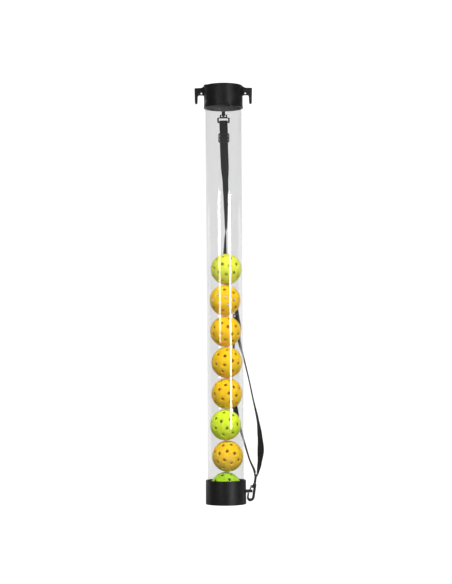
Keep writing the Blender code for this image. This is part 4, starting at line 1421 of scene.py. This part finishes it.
        hole = turned([(bore, foot - depth), (bore, neck_top + gap)], 28, closed=False)
        tools = [
            new_piece("web_slot", extruded(slot, depth, sideways), self.place()),
            new_piece("window", extruded(window, depth, sideways), self.place()),
            new_piece("post_hole", hole, self.place()),
        ]
        cut_or_join(loop, tools, "DIFFERENCE")
        soften(loop, 0.0006, 3)
        return loop

    def build(self, paint: Paint, pin: Piece) -> list[Piece]:
        """Build the hook, gate and loop, and dress the CAD pin.

        Args:
            paint: The finishes.
            pin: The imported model's own pin, which keeps its shape.

        Returns:
            The pieces.
        """
        hook = mount_piece(self._hook(), self.hook, Slot.BLACK, paint.clip, f"{self.prefix}_clip_hook")
        gate = mount_piece(self._gate(), self.gate, Slot.BLACK, paint.clip, f"{self.prefix}_clip_gate")
        loop = mount_piece(self._loop(), self.loop, Slot.BLACK, paint.clip, f"{self.prefix}_strap_loop")
        for piece, name in ((hook, "snap_hook"), (gate, "spring_gate"), (loop, "webbing_loop")):
            piece.name = f"{self.prefix}_{name}"
        pin.data.materials.clear()
        pin.data.materials.append(paint.steel)
        return [hook, gate, loop]


def top_clip() -> SwivelClip:
    """The clip on the cap: bow up, u pointing away from the tube."""
    turn = Matrix(((0.0, 1.0, 0.0), (1.0, 0.0, 0.0), (0.0, 0.0, -1.0))).to_4x4()
    place = (0.0, SIZES.cap_radius + SIZES.lug_standoff, SIZES.cap_top - SIZES.cap_lug_drop)
    clip = SwivelClip("top", place, turn, 0.0, 0.0, Body.TOP_HOOK, Body.TOP_GATE, Body.TOP_LOOP)
    clip.bar_u, clip.bar_v = clip.bow_u, clip.bow_v
    return clip


def low_clip() -> SwivelClip:
    """The clip on the collar: bow down, leaning out by eight degrees."""
    turn = Matrix.Rotation(math.radians(8.0), 4, "Y")
    place = (SIZES.collar_radius + SIZES.lug_standoff, 0.0, SIZES.collar_lug_height)
    return SwivelClip("bottom", place, turn, -0.0049, 0.0125, Body.LOW_HOOK, Body.LOW_GATE, Body.LOW_LOOP)


@dataclass
class StrapSlider:
    """A three-bar slider, flat across the webbing."""

    name: str
    node: str
    body: Body
    width: float = 0.0270
    height: float = 0.0220
    thickness: float = 0.0022
    bar: float = 0.0034
    rim: float = 0.0036

    def build(self, paint: Paint, place: Matrix) -> Piece:
        """Build the slider with rounded slots.

        Args:
            paint: The finishes.
            place: Matrix from the slider's frame, x across the webbing and z along it.

        Returns:
            The slider.
        """
        half, tall = self.width / 2, self.height / 2
        outline = rounded_frame(half, -tall, tall, self.rim * 0.5, 6)
        slider = new_piece(self.name, extruded(outline, self.thickness / 2, upright), place)
        tools = []
        for side in (1.0, -1.0):
            near, far = side * self.bar / 2, side * (tall - self.rim)
            low, high = min(near, far), max(near, far)
            slot = rounded_frame(half - self.rim * 0.8, low, high, 0.0008, 3)
            tools.append(new_piece("slider_slot", extruded(slot, self.thickness, upright), place))
        cut_or_join(slider, tools, "DIFFERENCE")
        soften(slider, 0.0004, 3)
        return mount_piece(slider, self.body, Slot.BLACK, paint.clip, self.node)


@dataclass(frozen=True)
class Station:
    """A place on the strap's route: its point, the way its width points, and its stretch."""

    point: Vector
    width: Vector
    stretch: str


class StrapRoute:
    """The webbing's whole route, from its end on the upper slider to its end on the lower one."""

    thickness = 0.0012
    loop_rim = SwivelClip.loop_rim
    loop_thickness = SwivelClip.loop_thickness
    slider_bar = StrapSlider.bar
    slider_height = StrapSlider.height
    slider_thickness = StrapSlider.thickness
    slider_edge = 0.0004
    web_bar = 0.0264
    upper_drop = 0.0387
    upper_run = (
        (0.0227, 89.1, 0.9368, 1.0),
        (0.0227, 88.1, 0.8577, 10.0),
        (0.0224, 86.8, 0.7508, 46.0),
        (0.0216, 86.0, 0.6346, 58.0),
        (0.0206, 85.9, 0.5323, 70.0),
        (0.0181, 87.7, 0.4300, 104.0),
        (0.0154, 88.4, 0.3301, 114.0),
        (0.0120, 82.9, 0.2139, 114.0),
        (0.0109, 71.6, 0.1023, 116.0),
    )
    low_slider_place = (0.0104, 59.9, 0.443, 116.0)
    outer_run = (
        (0.0128, 53.5, 0.392, 110.0),
        (0.0148, 39.9, 0.344, 97.0),
        (0.0199, 26.8, 0.292, 96.0),
        (0.0256, 18.3, 0.247, 97.0),
        (0.0333, 9.6, 0.200, 104.0),
        (0.0376, 4.9, 0.160, 122.0),
        (0.0390, 2.1, 0.127, 139.0),
        (0.0356, 0.4, 0.094, 117.0),
    )
    inner_run = (
        (0.0143, 66.8, 0.396, 104.0),
        (0.0140, 70.2, 0.345, 94.0),
        (0.0130, 71.5, 0.299, 90.0),
        (0.0119, 70.3, 0.259, 104.0),
        (0.0112, 63.9, 0.221, 124.0),
        (0.0130, 51.6, 0.176, 104.0),
        (0.0122, 38.1, 0.145, 100.0),
        (0.0151, 17.6, 0.104, 99.0),
    )

    def __init__(self, upper_clip: SwivelClip, lower_clip: SwivelClip) -> None:
        """Work out the frames that the webbing is threaded through.

        Args:
            upper_clip: The clip on the cap.
            lower_clip: The clip on the collar.
        """
        self.top_bar = self._loop_bar(upper_clip)
        self.low_bar = self._loop_bar(lower_clip)
        self.step = self.thickness + 2 * SIZES.gap
        self.loop_turn = math.hypot(self.loop_thickness, self.loop_rim) / 2 + SIZES.gap + self.thickness / 2
        self.slider_turn = self.slider_thickness / 2 + SIZES.gap + self.thickness / 2
        bar = self.top_bar.translation
        self.upper = Matrix.Translation((bar.x + 0.0007, bar.y - self.step * 1.2, bar.z - self.upper_drop))
        self.lower = self._lower_slider()

    def _loop_bar(self, clip: SwivelClip) -> Matrix:
        """Frame of a loop's webbing bar: x along the bar, y through the loop, z away from the clip."""
        swap = Matrix(((0.0, 1.0, 0.0), (1.0, 0.0, 0.0), (0.0, 0.0, 1.0))).to_4x4()
        return clip.place() @ Matrix.Translation((0.0, 0.0, self.web_bar)) @ swap

    @staticmethod
    def _beside_tube(standoff: float, degrees: float, height: float) -> Vector:
        """A point at a distance from the tube's wall, in a direction from its axis."""
        reach = SIZES.radius + standoff
        angle = math.radians(degrees)
        return Vector((reach * math.cos(angle), reach * math.sin(angle), height))

    @staticmethod
    def _width(degrees: float) -> Vector:
        """A level unit vector."""
        return Vector((math.cos(math.radians(degrees)), math.sin(math.radians(degrees)), 0.0))

    def _upper_points(self) -> Course:
        """Points and widths between the sliders, from the top down."""
        low = self.low_slider_place[2]
        span = self.upper.translation.z - low
        points = []
        for standoff, degrees, share, width in self.upper_run:
            place = self._beside_tube(standoff, degrees, low + span * share)
            points.append((place, self._width(width)))
        return points

    def _lower_slider(self) -> Matrix:
        """Frame of the lower slider, along the webbing that it sits on."""
        across = -self._width(self.low_slider_place[3])
        along = (self._upper_points()[-1][0] - self._beside_tube(*self.outer_run[0][:3])).normalized()
        across = (across - along * across.dot(along)).normalized()
        turn = Matrix((across, along.cross(across), along)).transposed().to_4x4()
        return Matrix.Translation(self._beside_tube(*self.low_slider_place[:3])) @ turn

    @staticmethod
    def _wrap(frame: Matrix, turn: float, straight: float, start: float, end: float, steps: int) -> Course:
        """Points round a bar that lies along the frame's x."""
        points = []
        width = frame.to_3x3() @ Vector((1.0, 0.0, 0.0))
        for k in range(steps + 1):
            angle = math.radians(start + (end - start) * k / steps)
            rise = math.sin(angle)
            shift = math.copysign(straight, rise) if abs(rise) > 0.01 else 0.0
            points.append((frame @ Vector((0.0, turn * math.cos(angle), turn * rise + shift)), width))
        return points

    def _round_loop(self, frame: Matrix, reach: float = 3.0, twist: float = 0.0) -> Course:
        """In along one side of a loop's bar, round it, and out along the other side.

        Args:
            frame: Frame of the bar.
            reach: Length of the straight lead, in bar heights.
            twist: Degrees that the webbing has turned at the end of its lead.

        Returns:
            Points and widths.
        """
        turn = self._wrap(frame, self.loop_turn, 0.0, 180.0, 360.0, 6)
        lead = frame.to_3x3() @ Vector((0.0, 0.0, reach * self.loop_rim))
        ends = []
        for point, width in (turn[0], turn[-1]):
            ends.append((point + lead, Matrix.Rotation(math.radians(twist), 3, "Z") @ width))
        return [ends[0], *turn, ends[1]]

    def stations(self) -> list[Station]:
        """Every station in order, with width vectors that never flip over."""
        behind = self.slider_turn + self.step
        straight = self.slider_bar / 2 - self.slider_thickness / 2 + self.slider_edge
        tall = self.slider_height / 2

        def beside(frame: Matrix, depth: float, along: float) -> tuple[Vector, Vector]:
            """A point beside a slider's middle bar."""
            return (frame @ Vector((0.0, depth, along)), frame.to_3x3() @ Vector((1.0, 0.0, 0.0)))

        def rows(run: Iterable[Sequence[float]]) -> Course:
            """Points and widths of a free run."""
            return [(self._beside_tube(*row[:3]), self._width(row[3])) for row in run]

        parts = [
            ("wrap_top", self._wrap(self.upper, self.slider_turn, straight, 100.0, 360.0, 9)),
            ("front_leg", [beside(self.upper, self.slider_turn, tall)]),
            ("fold_top", self._round_loop(self.top_bar)),
            ("down", [beside(self.upper, behind, a) for a in (tall, 0.0, -tall)]),
            ("down", self._upper_points()),
            ("down", [beside(self.lower, behind, a) for a in (tall * 2.2, tall, 0.0, -tall, -tall * 2.2)]),
            ("down", rows(self.outer_run)),
            ("fold_low", list(reversed(self._round_loop(self.low_bar, 2.0, 13.0)))),
            ("up", rows(reversed(self.inner_run))),
            ("up", [beside(self.lower, self.slider_turn, -tall)]),
            ("wrap_low", self._wrap(self.lower, self.slider_turn, straight, 0.0, 260.0, 8)),
        ]
        result: list[Station] = []
        for stretch, points in parts:
            for point, width in points:
                if result and width.dot(result[-1].width) < 0:
                    width = -width
                result.append(Station(point, width, stretch))
        return result

    def smooth(self) -> list[Station]:
        """The route as a centripetal Catmull-Rom curve, finer where it is threaded."""
        given = self.stations()
        first, last = given[0], given[-1]
        before = Station(first.point * 2 - given[1].point, first.width, first.stretch)
        after = Station(last.point * 2 - given[-2].point, last.width, last.stretch)
        padded = [before, *given, after]
        result: list[Station] = []
        for s0, s1, s2, s3 in zip(padded, padded[1:], padded[2:], padded[3:]):
            p0, p1, p2, p3 = s0.point, s1.point, s2.point, s3.point
            k1 = math.sqrt((p1 - p0).length)
            k2 = k1 + math.sqrt((p2 - p1).length)
            k3 = k2 + math.sqrt((p3 - p2).length)
            step = 0.0009 if s1.stretch.startswith(("wrap", "fold")) else 0.0035
            count = max(1, round((p2 - p1).length / step))
            stretch = s2.stretch if s2.stretch in ("down", "up") else s1.stretch
            for i in range(count):
                share = i / count
                t = k1 + (k2 - k1) * share
                a, b, c = p0.lerp(p1, t / k1), p1.lerp(p2, share), p2.lerp(p3, (t - k2) / (k3 - k2))
                d, e = a.lerp(b, t / k2), b.lerp(c, (t - k1) / (k3 - k1))
                width = s1.width.lerp(s2.width, share * share * (3 - 2 * share))
                result.append(Station(d.lerp(e, share), width, stretch))
        result.append(last)
        return result


@dataclass(frozen=True)
class Bend:
    """Which body a piece of the strap rides on, or, for a piece between two bodies, both of them and two
    heights.
    """

    name: str
    first: Body
    second: Body | None = None
    start: float = 0.0
    end: float = 0.0


DOWN_BENDS = (
    (0.820, Bend("back_leg", Body.TOP_LOOP)),
    (0.760, Bend("twist_top", Body.TOP_LOOP, Body.TOP_HOOK, 0.820, 0.760)),
    (0.580, Bend("swing_top", Body.TOP_HOOK, Body.CAP, 0.760, 0.580)),
    (0.480, Bend("lift", Body.CAP, Body.TUBE, 0.580, 0.480)),
    (0.140, Bend("main", Body.TUBE)),
    (0.096, Bend("swing_outer", Body.TUBE, Body.LOW_HOOK, 0.140, 0.096)),
    (-1.0, Bend("twist_outer", Body.LOW_HOOK, Body.LOW_LOOP, 0.096, 0.0745)),
)
UP_BENDS = (
    (0.096, Bend("twist_inner", Body.LOW_HOOK, Body.LOW_LOOP, 0.096, 0.0745)),
    (0.140, Bend("swing_inner", Body.TUBE, Body.LOW_HOOK, 0.140, 0.096)),
    (0.400, Bend("inner", Body.TUBE)),
    (2.0, Bend("tail", Body.TUBE, Body.LOW_SLIDER, 0.400, 0.430)),
)
THREADED_BENDS = {
    "wrap_top": Bend("wrap_top", Body.TOP_SLIDER),
    "fold_top": Bend("fold_top", Body.TOP_LOOP),
    "fold_low": Bend("fold_low", Body.LOW_LOOP),
    "wrap_low": Bend("wrap_low", Body.LOW_SLIDER),
}


@dataclass
class Strap:
    """The flat webbing strap, in pieces that meet edge to edge; a piece that has one body rides on it."""

    route: StrapRoute
    width: float = 0.0200
    columns: int = 12

    def _bend(self, station: Station) -> Bend:
        """Choose how the webbing behaves at a station."""
        if station.stretch == "front_leg":
            low = self.route.upper.translation.z + self.route.slider_height / 2
            high = self.route.top_bar.translation.z - 3 * self.route.loop_rim
            return Bend("front_leg", Body.TOP_SLIDER, Body.TOP_LOOP, low, high)
        if station.stretch in THREADED_BENDS:
            return THREADED_BENDS[station.stretch]
        if station.stretch == "down":
            return next(bend for height, bend in DOWN_BENDS if station.point.z >= height)
        return next(bend for height, bend in UP_BENDS if station.point.z <= height)

    def _section(self) -> list[Pair]:
        """Half-round selvedges and a flat middle, as (across, through) points in order."""
        half, thick = self.width / 2, self.route.thickness / 2
        edge = thick * 0.9
        span = 2 * half - 2 * edge
        upper = [(-half + edge + span * k / self.columns, thick) for k in range(self.columns + 1)]
        turns = (math.pi / 4, 0.0, -math.pi / 4)
        right = [(half - edge + edge * math.cos(a), thick * math.sin(a)) for a in turns]
        lower = [(x, -thick) for x, _ in reversed(upper)]
        left = [(-x, -y) for x, y in right]
        return upper + right + lower + left

    def _piece(
        self, bend: Bend, rings: Sequence[tuple[Station, Vector, float]], caps: tuple[bool, bool]
    ) -> Piece:
        """One stretch of webbing.

        Args:
            bend: Which bodies it belongs to; it names the stretch.
            rings: Station, direction and length so far, for each ring.
            caps: Whether the start and the end are the webbing's own ends.

        Returns:
            The stretch, with a UV map in metres.
        """
        bm = bmesh.new()
        weave = bm.loops.layers.uv.new("weave")
        section = self._section()
        verts, places = [], {}
        for station, along, length in rings:
            across = (station.width - along * station.width.dot(along)).normalized()
            through = along.cross(across).normalized()
            ring = []
            for a, b in section:
                vert = bm.verts.new(station.point + across * a + through * b)
                places[vert] = (a + self.width / 2 + (0.05 if b < 0 else 0.0), length)
                ring.append(vert)
            verts.append(ring)
        count = len(section)
        for near, far in zip(verts, verts[1:]):
            for k in range(count):
                after = (k + 1) % count
                face = bm.faces.new((near[k], near[after], far[after], far[k]))
                for loop in face.loops:
                    loop[weave].uv = places[loop.vert]
        for wanted, ring in zip(caps, (verts[0], verts[-1])):
            if wanted:
                bm.faces.new(ring)
        return new_piece(f"webbing_{bend.name}", bm, Matrix(), 60.0)

    def build(self, paint: Paint) -> list[Piece]:
        """Build every stretch; a stretch with one body is joined to it, and one between two bodies stays
        where it is built.
        """
        route = self.route.smooth()
        rings, length = [], 0.0
        for i, station in enumerate(route):
            ahead = route[min(i + 1, len(route) - 1)].point
            behind = route[max(i - 1, 0)].point
            if i:
                length += (station.point - behind).length
            rings.append((station, (ahead - behind).normalized(), length))
        pieces, start = [], 0
        while start < len(rings) - 1:
            bend = self._bend(rings[start][0])
            end = start + 1
            while end < len(rings) - 1 and self._bend(rings[end][0]) == bend:
                end += 1
            piece = self._piece(bend, rings[start : end + 1], (start == 0, end == len(rings) - 1))
            piece.data.materials.append(paint.webbing)
            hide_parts("strap_webbing")
            if bend.second is None:
                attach(piece, bend.first.value)
            else:
                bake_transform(piece)
            pieces.append(piece)
            start = end
        return pieces


@dataclass
class Studio:
    """Pale floor that sweeps up behind the object, soft panels, and the camera."""

    distance: float = 3.6
    eye_height: float = 0.345
    frame_height: float = 1.394
    aside: float = 0.0033
    pitch: float = 2.527
    roll: float = -0.39
    room: float = 0.06
    sensor: float = 36.0

    def _floor_finish(self) -> Material:
        """Pale sheet that is lit low down behind the object, and stays dim in front of it."""
        material, sheet, shader = plain_material("Studio floor")
        sheet.settle(shader, {
            "Base Color": (0.20, 0.20, 0.20, 1.0),
            "Roughness": 0.9,
            "Specular IOR Level": 0.1,
            "Emission Color": (1.0, 1.0, 1.0, 1.0),
        })
        place = sheet.add("ShaderNodeNewGeometry").outputs["Position"]
        split = sheet.add("ShaderNodeSeparateXYZ", {0: place})
        behind = sheet.remap(split.outputs[1], 0.1, 1.0)
        low = sheet.remap(split.outputs[2], 2.4, 1.2)
        glow = sheet.math("MULTIPLY", sheet.math("MULTIPLY", behind, low), 0.85)
        seen = sheet.add("ShaderNodeLightPath").outputs["Is Camera Ray"]
        strength = sheet.math("MAXIMUM", glow, seen)
        sheet.feed(shader.inputs["Emission Strength"], strength)
        return material

    def _floor(self) -> Piece:
        """Floor and backdrop as one swept sheet."""
        bm = bmesh.new()
        side, back, sweep, height = 9.0, 2.6, 1.6, 7.0
        bends = [math.pi / 32 * k for k in range(1, 17)]
        profile = [(-side, 0.0), (back, 0.0)]
        profile += [(back + sweep * math.sin(a), sweep - sweep * math.cos(a)) for a in bends]
        profile += [(back + sweep, height)]
        rows = [[bm.verts.new((x, y, z)) for x in (-side, side)] for y, z in profile]
        for near, far in zip(rows, rows[1:]):
            bm.faces.new((near[0], near[1], far[1], far[0]))
        mesh = mesh_of("studio_floor", bm)
        mesh.shade_smooth()
        mesh.materials.append(self._floor_finish())
        floor = linked("studio_floor", mesh)
        return floor

    def _board(self, name: str, side: float) -> None:
        """A white board behind the object on one side, out of the camera's view."""
        bm = bmesh.new()
        corners = ((1.30, 0.27, 0.0), (1.30, 3.2, 0.0), (1.30, 3.2, 0.85), (1.30, 0.27, 0.85))
        bm.faces.new([bm.verts.new((side * x, y, z)) for x, y, z in corners])
        mesh = mesh_of(name, bm)
        material, sheet, shader = plain_material(name)
        sheet.settle(shader, {
            "Base Color": (0.8, 0.8, 0.8, 1.0),
            "Emission Color": (1.0, 1.0, 1.0, 1.0),
            "Emission Strength": 0.72,
        })
        mesh.materials.append(material)
        board = linked(name, mesh)
        board.visible_camera = False

    def _world(self) -> None:
        """A dim room that shows white behind the set."""
        world = bpy.data.worlds.new("studio_world")
        world.use_nodes = True
        sheet = NodeSheet(world.node_tree)
        background = world.node_tree.nodes["Background"]
        background.inputs["Color"].default_value = (1.0, 1.0, 1.0, 1.0)
        seen = sheet.add("ShaderNodeLightPath").outputs["Is Camera Ray"]
        sheet.feed(background.inputs["Strength"], sheet.remap(seen, 0.0, 1.0, self.room, 1.0))
        bpy.context.scene.world = world

    def _panel(
        self, name: str, azimuth: float, distance: float, height: float, size: Pair, power: float
    ) -> Piece:
        """A soft panel that faces the tube.

        Args:
            name: The light's name.
            azimuth: Degrees round from the camera, positive to the right.
            distance: From the tube's axis.
            height: Of the panel's middle.
            size: Width and height.
            power: Watts.

        Returns:
            The light.
        """
        data = bpy.data.lights.new(name, "AREA")
        data.shape = "RECTANGLE"
        data.size, data.size_y = size
        data.energy = power
        light = linked(name, data)
        angle = math.radians(azimuth)
        place = Vector((AXIS.x + distance * math.sin(angle), AXIS.y - distance * math.cos(angle), height))
        light.location = place
        aim = Vector((AXIS.x, AXIS.y, 0.5)) - place
        light.rotation_euler = aim.to_track_quat("-Z", "Y").to_euler()
        return light

    def _camera(self) -> None:
        """The camera, level with the lower third of the tube and pitched up a little."""
        data = bpy.data.cameras.new("photo_camera")
        data.sensor_fit = "VERTICAL"
        data.sensor_height = self.sensor
        data.lens = self.sensor * self.distance / self.frame_height
        camera = linked("photo_camera", data)
        camera.location = (AXIS.x + self.aside, AXIS.y - self.distance, self.eye_height)
        tilt = Matrix.Rotation(math.radians(90.0 + self.pitch), 4, "X")
        camera.rotation_euler = (tilt @ Matrix.Rotation(math.radians(self.roll), 4, "Z")).to_euler()
        bpy.context.scene.camera = camera

    def build(self) -> None:
        """Build the studio."""
        self._floor()
        self._camera()
        self._world()
        self._panel("left_panel", -29.5, 2.0, 0.68, (0.46, 0.56), 9.0)
        self._panel("right_panel", 36.0, 2.0, 0.52, (0.38, 0.86), 24.0)
        fill = self._panel("overhead_panel", 0.0, 2.0, 2.4, (2.2, 1.4), 136.0)
        fill.visible_glossy = False
        self._board("left_board", -1.0)
        self._board("right_board", 1.0)
        bpy.context.scene.view_settings.view_transform = "Standard"


def main() -> None:
    """Build the object's sub-assemblies and the studio, in order."""
    logging.basicConfig(level=logging.INFO, format="%(name)s: %(message)s")
    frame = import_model()
    Studio().build()
    paint = Paint()
    upper, lower = top_clip(), low_clip()
    route = StrapRoute(upper, lower)
    pieces = [ClearTube().build(paint), TopCap().build(paint)]
    pieces += MouthCollar().build(paint)
    pieces += BallStack().build(paint)
    pieces += upper.build(paint, frame["nodes"]["top_clip_pin"])
    pieces += lower.build(paint, frame["nodes"]["bottom_clip_pin"])
    pieces.append(StrapSlider("top_strap_slider", "upper_slider", Body.TOP_SLIDER).build(paint, route.upper))
    pieces.append(StrapSlider("low_strap_slider", "lower_slider", Body.LOW_SLIDER).build(paint, route.lower))
    pieces += Strap(route).build(paint)
    for piece in pieces:
        LOG.info("%s: %d faces", piece.name, len(piece.data.polygons))


if __name__ == "__main__":
    main()
